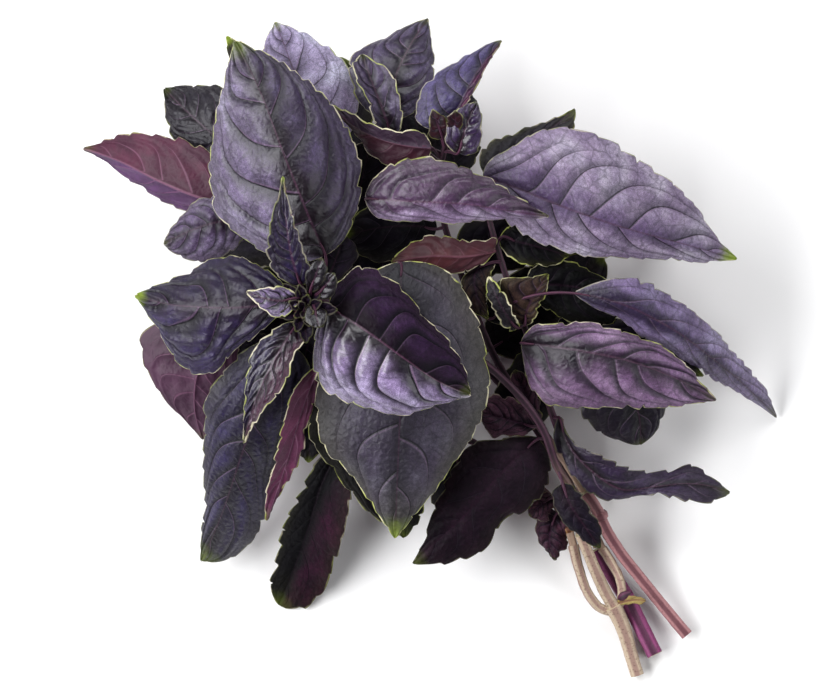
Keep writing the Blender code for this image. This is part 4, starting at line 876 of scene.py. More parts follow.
def notches(shares, length, random):
    """How far the margin is drawn in at each share of its length, for teeth that lean to the tip."""
    size = TOOTH_LENGTH * min(1, 0.45 + length / 110)
    ends = [-size * random.random()]
    while ends[-1] < length:
        ends.append(ends[-1] + size * random.uniform(0.65, 1.45))
    ends = np.array(ends)
    depth = TOOTH_NOTCH * size / TOOTH_LENGTH * random.uniform(0.3, 1.3, len(ends))
    tooth = np.clip(np.searchsorted(ends, shares * length, side="right") - 1, 0, len(ends) - 2)
    u = (shares * length - ends[tooth]) / (ends[tooth + 1] - ends[tooth])
    raised = u**0.75 * (1 - ease(u, 0.86, 1.0))
    return depth[tooth] * (1 - raised) * ease(shares, 0.06, 0.2) * (1 - ease(shares, 0.95, 1.0))


# %% [markdown]
# ### Relief
#
# Quilting is what makes basil look like basil. The side veins sit in grooves and the blade bulges between
# them. One number, the phase, counts the side veins along the midrib and is held along each vein's bow, so
# a whole number is a vein and a half is the top of a bulge. Smaller puckers cross the bulges, and slow
# waves grow towards the margins.

# %% Relief of a blade
VEIN_LEAN = 0.20
VEIN_LOOP = 2.2
BULGE_POWER = 0.85
QUILT_FADE = 0.58
PUCKER_SIZE = 3.1
RIB_GROOVE = 0.4
RIB_GROOVE_WIDTH = 1.1
RIB_RIDGE = 0.8
RIB_RIDGE_WIDTH = 0.6
VEIN_GROOVE = 0.18
VEIN_GROOVE_WIDTH = 0.45
PANEL_DEPTHS = 32


def vein_phase(share, reach, side, laterals, random):
    """Counts the side veins, which leave the midrib at an angle and bend along the margin further out."""
    bow = reach + VEIN_LOOP * reach**5
    shift = random.uniform(0, 2 * np.pi, 4)
    turn = 2 * np.pi * share
    uneven = 0.16 * np.sin(1.7 * turn + shift[0]) + 0.10 * np.sin(3.4 * turn + shift[1])
    stray = np.where(side > 0, 0.12 * np.sin(5 * share + 2.5 * reach + shift[2]),
                     0.12 * np.sin(6 * share + 2.5 * reach + shift[3]))
    return laterals * (share - VEIN_LEAN * bow) + 0.35 * (side > 0) + uneven + stray * reach


def panels(phase, side, random):
    """A different swelling for each panel between two side veins."""
    depths = random.uniform(0.55, 1.25, 2 * PANEL_DEPTHS)
    number = np.floor(phase).astype(int) % PANEL_DEPTHS + np.where(side > 0, PANEL_DEPTHS, 0)
    return depths[number]


def soft_groove(distance, width):
    """1 at distance 0, falling smoothly to nothing within about twice the width."""
    return np.exp(-((distance / width) ** 2))


def waves(share, reach, side, ends, look, random):
    """Slow and quick waves along both margins, each side with its own."""
    height = 0
    for sign in (-1, 1):
        slow, quick = random.uniform(1.6, 2.6), random.uniform(4.0, 6.5)
        shift = random.uniform(0, 2 * np.pi, 2)
        turn = 2 * np.pi * share
        wave = 0.65 * np.sin(slow * turn + shift[0]) + 0.35 * np.sin(quick * turn + shift[1])
        height = height + np.where(side * sign > 0, look.wave * wave * reach**1.6 * ends, 0)
    return height


def relief(share, reach, side, half, length, look, random):
    """Height of the upper face over the blade's middle surface, in millimetres, and the veins' phase."""
    phase = vein_phase(share, reach, side, look.laterals, random)
    part = phase - np.floor(phase)
    bulge = np.sin(np.pi * part**BULGE_POWER) ** BULGE_POWER
    inner = ease(reach, 0.0, 0.2) * (1 - ease(reach, QUILT_FADE, 1.0)) * ease(share, 0.02, 0.15)
    deep = np.where(side < 0, *np.broadcast_to(look.quilt, 2))
    height = deep * inner * (panels(phase, side, random) * bulge - 0.5)
    shift = random.uniform(0, 2 * np.pi, 3)
    from_rib = reach * half
    sway = 0.5 * np.sin(9 * share + shift[0]) + 0.4 * np.sin(5 * part)
    height += look.pucker * inner * bulge * np.sin(np.pi * (from_rib / PUCKER_SIZE + sway))
    height -= RIB_GROOVE * soft_groove(from_rib, RIB_GROOVE_WIDTH) * (1 - 0.6 * share)
    from_vein = np.abs(phase - np.round(phase)) * length / look.laterals * 0.7
    vein_depth = VEIN_GROOVE * (1 - reach) * ease(from_rib, 0.5, 2.0)
    height -= vein_depth * soft_groove(from_vein, VEIN_GROOVE_WIDTH)
    ends = np.sin(np.pi * share) ** 0.6
    return height + waves(share, reach, side, ends, look, random), phase


# %% One blade as a grid
CELL_ALONG = 0.58
CELL_ACROSS = 0.70
HIDDEN_CELL = 1.0
THICKNESS = 0.32
TABLE_GAP = 0.05
DEEPEST_NOTCH = 0.3
NOTCH_POWER = 5
RIDGE_TAPER = 0.8
TIP_MARGIN = 0.2
SKIN_SPREAD = 37.0


def grid_counts(leaf):
    """Rows along the blade and columns on each side of its midrib, from its size and whether it shows."""
    shows = leaf.name in LOOKS
    cell_along, cell_across = (CELL_ALONG, CELL_ACROSS) if shows else (HIDDEN_CELL, HIDDEN_CELL)
    shares = np.linspace(0, 1, 9)
    rib = smooth(leaf.rib, shares)
    edges = [margin(leaf, points, shares) for points in (leaf.left, leaf.right)]
    widest = max(np.linalg.norm(edge - rib, axis=1).max() for edge in edges)
    return max(14, round(length_of(leaf.rib) / cell_along)), max(4, round(widest / cell_across))


def blade(leaf, look, random):
    """A closed blade: its points, faces with a material number, and what the finish reads at each point."""
    rows, side_columns = grid_counts(leaf)
    shares = np.linspace(0, 1, rows + 1)
    across = np.linspace(-1, 1, 2 * side_columns + 1)
    rib = smooth(leaf.rib, shares)
    along = unit(np.gradient(rib, axis=0))
    length = length_of(rib)
    surface = np.zeros((rows + 1, len(across), 3))
    half = np.zeros(surface.shape[:2])
    for points, side in ((leaf.left, -1), (leaf.right, 1)):
        edge = margin(leaf, points, shares)
        reach_out = edge - rib
        wide = np.linalg.norm(reach_out, axis=1)
        swell = unit(np.cross(reach_out * side, along)) * wide[:, None]
        cut = np.minimum(notches(shares, length, random), DEEPEST_NOTCH * wide)
        for column in np.flatnonzero(across * side >= 0):
            reach = abs(across[column])
            surface[:, column] = rib + reach_out * reach + swell * leaf.crown * 2 * reach * (1 - reach)
            surface[:, column] -= reach_out / wide[:, None] * (cut * reach**NOTCH_POWER)[:, None]
            half[:, column] = wide
    normal = unit(np.cross(np.gradient(surface, axis=1), np.gradient(surface, axis=0)))
    for end in (0, -1):
        normal[end] = normal[end, side_columns]
    share, place = np.meshgrid(shares, across, indexing="ij")
    reach, side = np.abs(place), np.sign(place)
    height, phase = relief(share, reach, side, half, length, look, random)
    ridge = RIB_RIDGE * (1 - RIDGE_TAPER * share) * soft_groove(reach * half, RIB_RIDGE_WIDTH)
    if leaf.under:
        height = -height
        upper = surface + normal * (height + THICKNESS / 2 + ridge)[..., None]
        lower = surface + normal * (height - THICKNESS / 2)[..., None]
    else:
        upper = surface + normal * (height + THICKNESS / 2)[..., None]
        lower = surface + normal * (height - THICKNESS / 2 - ridge)[..., None]
    lower[..., 2] = np.maximum(lower[..., 2], TABLE_GAP)
    upper[..., 2] = np.maximum(upper[..., 2], TABLE_GAP + THICKNESS)
    edge_gap = np.linalg.norm(upper - np.where((side < 0)[..., None], upper[:, :1], upper[:, -1:]), axis=-1)
    tip_gap = length * (1 - share) + TIP_MARGIN
    own_skin = SKIN_SPREAD * random.random()
    return {
        "upper": upper,
        "lower": lower,
        "flow": np.stack([phase, reach, share], -1),
        "skin": np.stack([place * half, share * length, np.full(place.shape, own_skin)], -1),
        "edge": np.minimum(edge_gap, tip_gap),
    }


def blade_faces(rows, columns, start, under):
    """Quads of both faces and of the rim between them. under is 1 if the leaf's lower side lies on top."""
    count = rows * columns
    index = start + np.arange(count).reshape(rows, columns)
    a, b, c, d = index[:-1, :-1], index[:-1, 1:], index[1:, 1:], index[1:, :-1]
    top = np.stack([a, b, c, d], -1).reshape(-1, 4)
    bottom = np.stack([a, d, c, b], -1).reshape(-1, 4) + count
    loop = np.concatenate([index[0], index[1:, -1], index[-1, -2::-1], index[-2:0:-1, 0]])
    after = np.roll(loop, -1)
    rim = np.stack([loop, loop + count, after + count, after], -1)
    faces = np.concatenate([top, bottom, rim])
    kinds = [np.full(len(top), under), np.full(len(bottom), 1 - under), np.zeros(len(rim), int)]
    return faces, np.concatenate(kinds)


# %% [markdown]
# ### Several blades in one mesh
#
# Each blade could be an object of its own, but a shoot is one piece of the plant, so its blades are joined.
# Every point stores what the finishes read: the phase, reach and share of the veins, its place on the skin,
# its distance to the margin, and the colours and shares of its look. A face carries the number of its
# finish: 0 for the waxy upper skin, 1 for the lower face and 2 for upper skin with hardly any wax, which
# stays dark where it faces the light.

# %% Facts at every point
WAXLESS = 0.32
FACTS = ("flow", "skin", "edge", "face", "heart", "back", "looks", "marks")
FACT_KINDS = {1: ("FLOAT", "value"), 3: ("FLOAT_VECTOR", "vector"), 4: ("FLOAT_COLOR", "color")}


def point_colours(look, name, side):
    """The colour that the finish reads at each point. One half may take another colour: a tone of its own,
    the lower face where a fold turns it up, or painted sheen where that half faces the light.
    """
    colour = np.broadcast_to(np.array(getattr(look, name)), (*side.shape, 4)).copy()
    if name in ("face", "back"):
        for half, sign in ((look.left_face, -1), (look.right_face, 1)):
            if half is not None:
                colour[side * sign > 0] = half
    return colour


def blade_facts(made, look, side):
    """Adds the colours and shares of a look to what a blade stores at its points."""
    made |= {name: point_colours(look, name, side) for name in ("face", "heart", "back")}
    made["looks"] = np.broadcast_to((look.gloss, look.edge, look.tip), (*side.shape, 3)).copy()
    made["looks"][side < 0, 0] *= look.left_gloss
    made["marks"] = np.broadcast_to((look.olive, look.pale_veins, look.valley), (*side.shape, 3))


def without_wax(kind, look, rows, columns):
    """Gives upper skin with little gloss the finish number 2, on the whole blade or on its left half."""
    column = np.arange(len(kind)) % (columns - 1)
    left_half = (column < columns // 2) & (np.arange(len(kind)) < (rows - 1) * (columns - 1))
    matt = (look.gloss < WAXLESS) | (left_half & (look.gloss * look.left_gloss < WAXLESS))
    kind[(kind == 0) & matt] = 2


def joined_blades(leaves, first_seed):
    """Mesh data of several blades, joined. Each blade has a random seed of its own."""
    points, faces, kinds = [], [], []
    facts = {name: [] for name in FACTS}
    start = 0
    for seed, leaf in enumerate(leaves, start=first_seed):
        look = LOOKS.get(leaf.name, SHADE_LOOK)
        made = blade(leaf, look, np.random.default_rng(seed))
        rows, columns = made["edge"].shape
        blade_facts(made, look, np.broadcast_to(np.sign(np.linspace(-1, 1, columns)), (rows, columns)))
        quads, kind = blade_faces(rows, columns, start, int(leaf.under))
        without_wax(kind, look, rows, columns)
        points += [made["upper"].reshape(-1, 3), made["lower"].reshape(-1, 3)]
        faces.append(quads)
        kinds.append(kind)
        for name, stack in facts.items():
            stack += [made[name].reshape(rows * columns, -1)] * 2
        start += 2 * rows * columns
    return np.concatenate(points), np.concatenate(faces), np.concatenate(kinds), {
        name: np.concatenate(stack) for name, stack in facts.items()}


def add_fact(mesh, name, values):
    """Stores a number, a vector or a colour on each of the mesh's points, by how wide the values are."""
    kind, field = FACT_KINDS[values.shape[1]]
    layer = mesh.attributes.new(name, kind, "POINT")
    layer.data.foreach_set(field, values.astype(np.float32).ravel())


def blades_piece(name, leaves, first_seed, materials):
    points, faces, kinds, facts = joined_blades(leaves, first_seed)
    mesh = bpy.data.meshes.new(name)
    mesh.from_pydata((points * MM).tolist(), [], faces.tolist())
    for material in materials:
        mesh.materials.append(material)
    mesh.polygons.foreach_set("material_index", kinds.astype(np.int32))
    for fact, values in facts.items():
        add_fact(mesh, fact, values)
    mesh.shade_smooth()
    mesh.validate()
    piece = bpy.data.objects.new(name, mesh)
    bpy.context.scene.collection.objects.link(piece)
    return piece


# %% [markdown]
# ## Leaf finishes
#
# The finish could be one noise texture over everything, but a leaf's marks all follow its veins. So the
# shaders read what each blade stored at its points: the phase, reach and share that the veins follow, the
# distance to the margin, and places on the blade in millimetres for the fine net of cells. Four effects are
# groups that both faces share: the veins, the net, the pale margin and slow mottling.

# %% Group: side veins and midrib
# How far past each side vein the band of painted highlight lies, in vein widths
HIGHLIGHT_OFFSET = 2.2


def vein_group():
    """The lines of the side veins, a band of painted highlight past them, painted shade in the low ground
    before them, and the midrib.
    """
    tree, source, give = new_group(
        "leaf_veins", {"Flow": VECTOR, "Skin": VECTOR, "Width": NUMBER},
        {"Veins": NUMBER, "Banks": NUMBER, "Midrib": NUMBER, "Valleys": NUMBER})
    phase, reach, share = split(tree, source["Flow"])
    gap = math_node(tree, "SUBTRACT", phase, math_node(tree, "ROUND", phase))
    width = times(tree, source["Width"], ramp(tree, reach, 0.0, 1.0, 1.0, 0.35))
    there = ramp(tree, reach, 0.60, 0.95, 1.0, 0.0)
    across = math_node(tree, "DIVIDE", gap, width)
    line = ramp(tree, math_node(tree, "ABSOLUTE", across), 0.3, 1.5, 1.0, 0.0)
    # A band of painted highlight just past each side vein
    from_highlight = math_node(tree, "ABSOLUTE", math_node(tree, "SUBTRACT", across, HIGHLIGHT_OFFSET))
    highlight_band = ramp(tree, from_highlight, 0.2, 1.5, 1.0, 0.0)
    # Painted shade in the low ground just before each side vein
    valley = times(tree, ramp(tree, gap, -0.46, -0.02), ramp(tree, gap, 0.0, 0.06, 1.0, 0.0))
    from_rib = math_node(tree, "ABSOLUTE", split(tree, source["Skin"])[0])
    rib_width = ramp(tree, share, 0.0, 1.0, 0.55, 0.18)
    midrib = ramp(tree, math_node(tree, "DIVIDE", from_rib, rib_width), 0.35, 1.3, 1.0, 0.0)
    give(Veins=times(tree, line, there), Banks=times(tree, highlight_band, there), Midrib=midrib,
         Valleys=times(tree, valley, there))
    return tree


# %% Group: net of small cells
BRANCH_SCALE = 0.38


def net_group():
    """Lines and Branches are the edges of small and large cells, Domes the small cells' swelling."""
    tree, source, give = new_group(
        "leaf_net", {"Skin": VECTOR, "Scale": NUMBER},
        {"Lines": NUMBER, "Branches": NUMBER, "Domes": NUMBER, "Grain": NUMBER})
    bend = link_nodes(tree, "ShaderNodeTexNoise", {"Vector": source["Skin"], "Scale": 0.8, "Detail": 2.0})
    moved = link_nodes(
        tree, "ShaderNodeVectorMath", {0: source["Skin"], 1: bend.outputs["Color"]}, {"operation": "ADD"})

    def from_edge(scale):
        cells = link_nodes(
            tree, "ShaderNodeTexVoronoi", {"Vector": moved.outputs[0], "Scale": scale},
            {"feature": "DISTANCE_TO_EDGE"})
        return cells.outputs["Distance"]

    small = from_edge(source["Scale"])
    large = from_edge(times(tree, source["Scale"], BRANCH_SCALE))
    give(Lines=ramp(tree, small, 0.02, 0.10, 1.0, 0.0), Branches=ramp(tree, large, 0.01, 0.055, 1.0, 0.0),
         Domes=ramp(tree, small, 0.0, 0.45), Grain=noise(tree, source["Skin"], 3.5, 4.0))
    return tree


# %% Group: pale margin
def margin_group():
    """The line along the edge of a blade. It is uneven, and turns from cream to green and back."""
    tree, source, give = new_group(
        "leaf_margin", {"Edge": NUMBER, "Skin": VECTOR, "Width": NUMBER},
        {"Margin": NUMBER, "Color": COLOUR})
    uneven = ramp(tree, noise(tree, source["Skin"], 0.28, 3.0), 0.36, 0.66, 0.25, 1.25)
    far = math_node(tree, "DIVIDE", source["Edge"], times(tree, source["Width"], uneven))
    tint = ramp(tree, noise(tree, source["Skin"], 0.11, 2.0), 0.42, 0.58)
    colour = mix_colour(tree, tint, MARGIN_GREEN, MARGIN_CREAM)
    give(Margin=ramp(tree, far, 0.6, 1.3, 1.0, 0.0), Color=colour)
    return tree


# %% Group: slow mottling between two colours
def mottle_group():
    tree, source, give = new_group(
        "leaf_mottle",
        {"Skin": VECTOR, "First": COLOUR, "Second": COLOUR, "Scale": NUMBER, "Share": NUMBER},
        {"Color": COLOUR, "Mask": NUMBER})
    middle = math_node(tree, "SUBTRACT", 0.85, source["Share"])
    low = math_node(tree, "SUBTRACT", middle, 0.2)
    high = math_node(tree, "ADD", middle, 0.1)
    mask = ramp(tree, noise(tree, source["Skin"], source["Scale"], 4.0), low, high)
    give(Color=mix_colour(tree, mask, source["First"], source["Second"]), Mask=mask)
    return tree


VEINS = vein_group()
NET = net_group()
MARGIN = margin_group()
MOTTLE = mottle_group()
print("groups:", VEINS.name, NET.name, MARGIN.name, MOTTLE.name)

# %% [markdown]
# ### Upper face
#
# The upper skin is waxy. Its own colour is dark, and much of the slate tone is the softbox in the wax. So
# most colours stay dark, though the palest faces carry part of their sheen painted into their colour. The
# roughness follows each leaf's gloss, and young shining leaves get a clear coat on top. The heart of the
# leaf, along the midrib and at the base, is redder and darker; over the base it is partly painted shade.
# Painted shade darkens the low ground before each side vein, a painted highlight lightens the skin just past
# it, and thin dark branches join the veins. Painted shade also darkens the skin towards the stalk. Olive
# creeps in from the margins and the tip of older leaves. Leaves with hardly any wax take the same finish
# with a much weaker mirror.

# %% What both faces share
def leaf_facts(tree):
    """The stored facts that the finishes read, as sockets by name."""
    names = ("flow", "skin", "looks", "marks")
    flow, skin, looks, marks = (attribute(tree, name).outputs["Vector"] for name in names)
    facts = {"flow": flow, "skin": skin, "edge": attribute(tree, "edge").outputs["Fac"]}
    facts |= zip(("phase", "reach", "share"), split(tree, flow))
    facts |= zip(("gloss", "line", "tip"), split(tree, looks))
    facts |= zip(("olive", "pale", "valley"), split(tree, marks))
    return facts


def veins_and_net(tree, facts, vein_width, cell_scale):
    veins = place_group(tree, VEINS, Flow=facts["flow"], Skin=facts["skin"], Width=vein_width)
    return veins, place_group(tree, NET, Skin=facts["skin"], Scale=cell_scale)


def mottled(tree, facts, first, second, scale, share):
    made = place_group(tree, MOTTLE, Skin=facts["skin"], First=first, Second=second, Scale=scale, Share=share)
    return made["Color"]


def tip_and_margin(tree, colour, facts, width):
    """Adds the green tip and the pale margin line over a colour."""
    near_tip = math_node(tree, "MULTIPLY_ADD", noise(tree, facts["skin"], 0.3, 3.0), 0.06, facts["share"])
    green = times(tree, ramp(tree, near_tip, 0.93, 1.03), facts["tip"])
    colour = mix_colour(tree, green, colour, LEAF_GREEN)
    line = place_group(tree, MARGIN, Edge=facts["edge"], Skin=facts["skin"], Width=width)
    return mix_colour(tree, times(tree, line["Margin"], facts["line"]), colour, line["Color"])


def skin_bump(tree, shader, net, veins, cell_height, distance):
    """Fine relief that is too small for the mesh: domed cells, vein lines and grain."""
    height = math_node(tree, "MULTIPLY_ADD", veins["Veins"], -0.35, times(tree, net["Domes"], cell_height))
    set_bump(tree, shader, math_node(tree, "MULTIPLY_ADD", net["Grain"], 0.30, height), distance)


# %% Upper face
UPPER_VEIN_WIDTH = 0.026
UPPER_CELLS = 0.42
UPPER_MARGIN = 0.44
WHITE = (1, 1, 1, 1)
DEEPEN = 1.25
LIFT = (1.33, 1.29, 1.39, 1)
COOL_SHEEN = (0.94, 0.94, 1.0, 1)


def skin_tones(tree, facts):
    """Heart along the midrib and at the base, face further out, with slow mottling and a violet blush."""
    face = attribute(tree, "face").outputs["Color"]
    heart = attribute(tree, "heart").outputs["Color"]
    spread = math_node(tree, "MULTIPLY_ADD", noise(tree, facts["skin"], 0.09, 4.0), 0.5, facts["reach"])
    # Painted shade: the heart's darker tone spreads over the base of the blade, where the leaves above shade
    # it
    near_base = ramp(tree, facts["share"], 0.0, 0.45, 0.5, 0.0)
    core = ramp(tree, math_node(tree, "SUBTRACT", spread, near_base), 0.2, 0.62, 1.0, 0.0)
    colour = mix_colour(tree, core, face, heart)
    colour = mix_colour(tree, 0.45, colour, mottled(tree, facts, colour, heart, scale=0.16, share=0.32))
    blush = mottled(tree, facts, WHITE, VIOLET_BLUSH, scale=0.07, share=0.36)
    return mix_colour(tree, 0.7, colour, blush, "MULTIPLY")


def aged(tree, colour, facts):
    """Adds the olive of older skin towards the margins and the tip."""
    outer = times(tree, ramp(tree, facts["reach"], 0.45, 1.0), facts["olive"])
    late = times(tree, ramp(tree, facts["share"], 0.72, 1.0), facts["olive"])
    return mix_colour(tree, math_node(tree, "MAXIMUM", outer, late), colour, OLIVE)


def vein_marks(tree, colour, facts, veins, net):
    """Adds painted shade in the low ground, the net, a painted highlight past each vein, the side veins and
    the midrib, in this order.
    """
    # Painted shade darkens the low ground before each side vein
    colour = mix_colour(tree, times(tree, veins["Valleys"], facts["valley"]), colour, PAINTED_SHADE)
    colour = mix_colour(tree, times(tree, net["Lines"], 0.12), colour, NIGHT)
    colour = mix_colour(tree, times(tree, net["Branches"], 0.25), colour, NIGHT)
    # Painted highlight past each side vein, stronger on glossier leaves
    highlight_band = times(tree, veins["Banks"], times(tree, facts["gloss"], 0.7))
    colour = mix_colour(tree, highlight_band, colour, LILAC_VEIN_AND_HIGHLIGHT)
    tone = mix_colour(tree, facts["pale"], NIGHT, LILAC_VEIN_AND_HIGHLIGHT)
    colour = mix_colour(tree, times(tree, veins["Veins"], 0.75), colour, tone)
    rib_share = math_node(tree, "MAXIMUM", facts["pale"], times(tree, facts["gloss"], 0.6))
    rib_tone = mix_colour(tree, rib_share, PLUM, PINK_VEIN)
    return mix_colour(tree, times(tree, veins["Midrib"], 0.5), colour, rib_tone)


def speckled(tree, colour, facts, net):
    """Adds fine grain, soft clouds and painted shade near the stalk, and deepens the dark tones."""
    grain = ramp(tree, net["Grain"], 0.34, 0.66, 0.72, 1.2)
    cloud = ramp(tree, noise(tree, facts["skin"], 0.8, 5.0), 0.34, 0.66, 0.86, 1.1)
    # Painted shade: the skin darkens towards the stalk, where the leaves above shade it
    shade = ramp(tree, facts["share"], 0.0, 0.2, 0.55, 1.0)
    colour = mix_colour(tree, 1.0, colour, times(tree, times(tree, grain, cloud), shade), "MULTIPLY")
    deeper = link_nodes(tree, "ShaderNodeGamma", {"Color": colour, "Gamma": DEEPEN}).outputs[0]
    return mix_colour(tree, 1.0, deeper, LIFT, "MULTIPLY")


def upper_material(name, wax):
    """An upper face. wax is how strongly its skin mirrors the light."""
    material, tree, shader = new_material(name)
    facts = leaf_facts(tree)
    veins, net = veins_and_net(tree, facts, UPPER_VEIN_WIDTH, UPPER_CELLS)
    colour = vein_marks(tree, aged(tree, skin_tones(tree, facts), facts), facts, veins, net)
    colour = tip_and_margin(tree, speckled(tree, colour, facts, net), facts, UPPER_MARGIN)
    tree.links.new(colour, shader.inputs["Base Color"])
    rough = ramp(tree, facts["gloss"], 0.0, 1.0, 0.52, 0.30)
    uneven = math_node(tree, "MULTIPLY_ADD", net["Grain"], 0.16, rough)
    tree.links.new(math_node(tree, "SUBTRACT", uneven, 0.05), shader.inputs["Roughness"])
    tree.links.new(ramp(tree, facts["gloss"], 0.55, 1.0, 0.0, 0.5), shader.inputs["Coat Weight"])
    shader.inputs["Coat Roughness"].default_value = 0.2
    shader.inputs["Specular IOR Level"].default_value = wax
    shader.inputs["Specular Tint"].default_value = COOL_SHEEN
    skin_bump(tree, shader, net, veins, cell_height=0.45, distance=0.00034)
    return material


# %% [markdown]
# ### Lower face
#
# The lower side has no wax. It is matt, magenta to violet, and its midrib and veins stand out paler. It
# takes the same groups with other values.

# %% Lower face
LOWER_VEIN_WIDTH = 0.045
LOWER_CELLS = 0.5
LOWER_MARGIN = 0.42


def lower_material():
    material, tree, shader = new_material("leaf_lower")
    facts = leaf_facts(tree)
    back = attribute(tree, "back").outputs["Color"]
    heart = attribute(tree, "heart").outputs["Color"]
    veins, net = veins_and_net(tree, facts, LOWER_VEIN_WIDTH, LOWER_CELLS)
    colour = mix_colour(tree, 0.5, back, mottled(tree, facts, back, heart, scale=0.13, share=0.36))
    tone = mix_colour(tree, facts["pale"], back, PINK_VEIN)
    colour = mix_colour(tree, times(tree, net["Lines"], 0.08), colour, tone)
    lines = math_node(tree, "MAXIMUM", times(tree, veins["Veins"], 0.7), veins["Midrib"])
    colour = tip_and_margin(tree, mix_colour(tree, lines, colour, tone), facts, LOWER_MARGIN)
    tree.links.new(colour, shader.inputs["Base Color"])
    rough = math_node(tree, "MULTIPLY_ADD", net["Grain"], 0.2, 0.45)
    tree.links.new(rough, shader.inputs["Roughness"])
    shader.inputs["Specular IOR Level"].default_value = 0.35
    skin_bump(tree, shader, net, veins, cell_height=0.4, distance=0.0002)
    return material


LEAF_FINISHES = (upper_material("leaf_upper", wax=0.42), lower_material(),
                 upper_material("leaf_upper_matt", wax=0.12))
print("leaf finishes:", [finish.name for finish in LEAF_FINISHES])

# %% [markdown]
# ### Leaves of the five shoots
#
# All blades of a shoot take the place of the leafy part of its solid. A shoot with many large leaves makes
# two pieces, so that none grows too heavy. Each blade has a random seed of its own, so a change to one leaf
# leaves the others as they are.

# %% Leaves of the five shoots
PIECE_TRIANGLES = 190000
SEEDS_PER_SHOOT = 1000


def piece_groups(leaves):
    """The leaves in their order, in groups that each stay under the limit of triangles for one piece."""
    groups, held = [[]], 0
    for leaf in leaves:
        rows, side_columns = grid_counts(leaf)
        triangles = 8 * rows * side_columns + 4 * (rows + 2 * side_columns)
        if held + triangles > PIECE_TRIANGLES:
            groups.append([])
            held = 0
        groups[-1].append(leaf)
        held += triangles
    return groups


def dress(piece, node):
    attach(piece, "root")
    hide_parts(node)


for shoot_number, shoot in enumerate(SHOOTS, start=1):
    seed = SEEDS_PER_SHOOT * shoot_number
    for number, group in enumerate(piece_groups(shoot.leaves), start=1):
        leaves = blades_piece(f"{shoot.name}_leaves_{number}", group, seed, LEAF_FINISHES)
        seed += len(group)
        dress(leaves, shoot.name)
        print(leaves.name, len(group), "leaves,", len(leaves.data.polygons) * 2, "triangles")

# %% [markdown]
# ## Stems and stalks
#
# Basil stems are square, with a rounded ridge at each corner and a groove down each side. Such a stem
# follows a path with one cross section, which is what Geometry Nodes do well: the path is a curve that
# carries a radius at every point, the cross section is a circle drawn in four times round, and Curve to
# Mesh sweeps one along the other. Noise then adds the small lumps of bark. The tree stores the place along
# and around the stem for the finish, and gives the cut ends their own material.

# %% Geometry Nodes: a ridged stem along a curve
def socket_id(tree, name):
    """The identifier of a tree's named input, which a modifier needs to set it."""
    return next(item.identifier for item in tree.interface.items_tree if item.name == name)


def geo_inputs(tree, inputs):
    tree.interface.new_socket(name="Geometry", in_out="INPUT", socket_type="NodeSocketGeometry")
    tree.interface.new_socket(name="Geometry", in_out="OUTPUT", socket_type="NodeSocketGeometry")
    for label, (kind, value) in inputs.items():
        socket = tree.interface.new_socket(name=label, in_out="INPUT", socket_type=kind)
        if value is not None:
            socket.default_value = value
    return tree.nodes.new("NodeGroupInput").outputs


def stem_profile(tree, source):
    """A circle of radius 1 that is drawn in between its ridges, with the place around it stored."""
    circle = link_nodes(
        tree, "GeometryNodeCurvePrimitiveCircle", {"Resolution": source["Sides"], "Radius": 1.0})
    around = link_nodes(tree, "GeometryNodeSplineParameter").outputs["Factor"]
    turns = times(tree, around, 2 * math.pi)
    swing = math_node(tree, "COSINE", times(tree, turns, source["Ridges"]))
    hollow = math_node(tree, "MULTIPLY_ADD", swing, 0.5, 0.5)
    scale = math_node(tree, "SUBTRACT", 1.0, times(tree, hollow, source["Groove"]))
    place = link_nodes(tree, "GeometryNodeInputPosition").outputs[0]
    drawn = link_nodes(tree, "ShaderNodeVectorMath", {0: place, "Scale": scale}, {"operation": "SCALE"})
    shaped = link_nodes(
        tree, "GeometryNodeSetPosition", {"Geometry": circle.outputs["Curve"], "Position": drawn.outputs[0]})
    stored = link_nodes(
        tree, "GeometryNodeStoreNamedAttribute",
        {"Geometry": shaped.outputs[0], "Name": "around", "Value": around}, {"data_type": "FLOAT"})
    return stored.outputs[0]


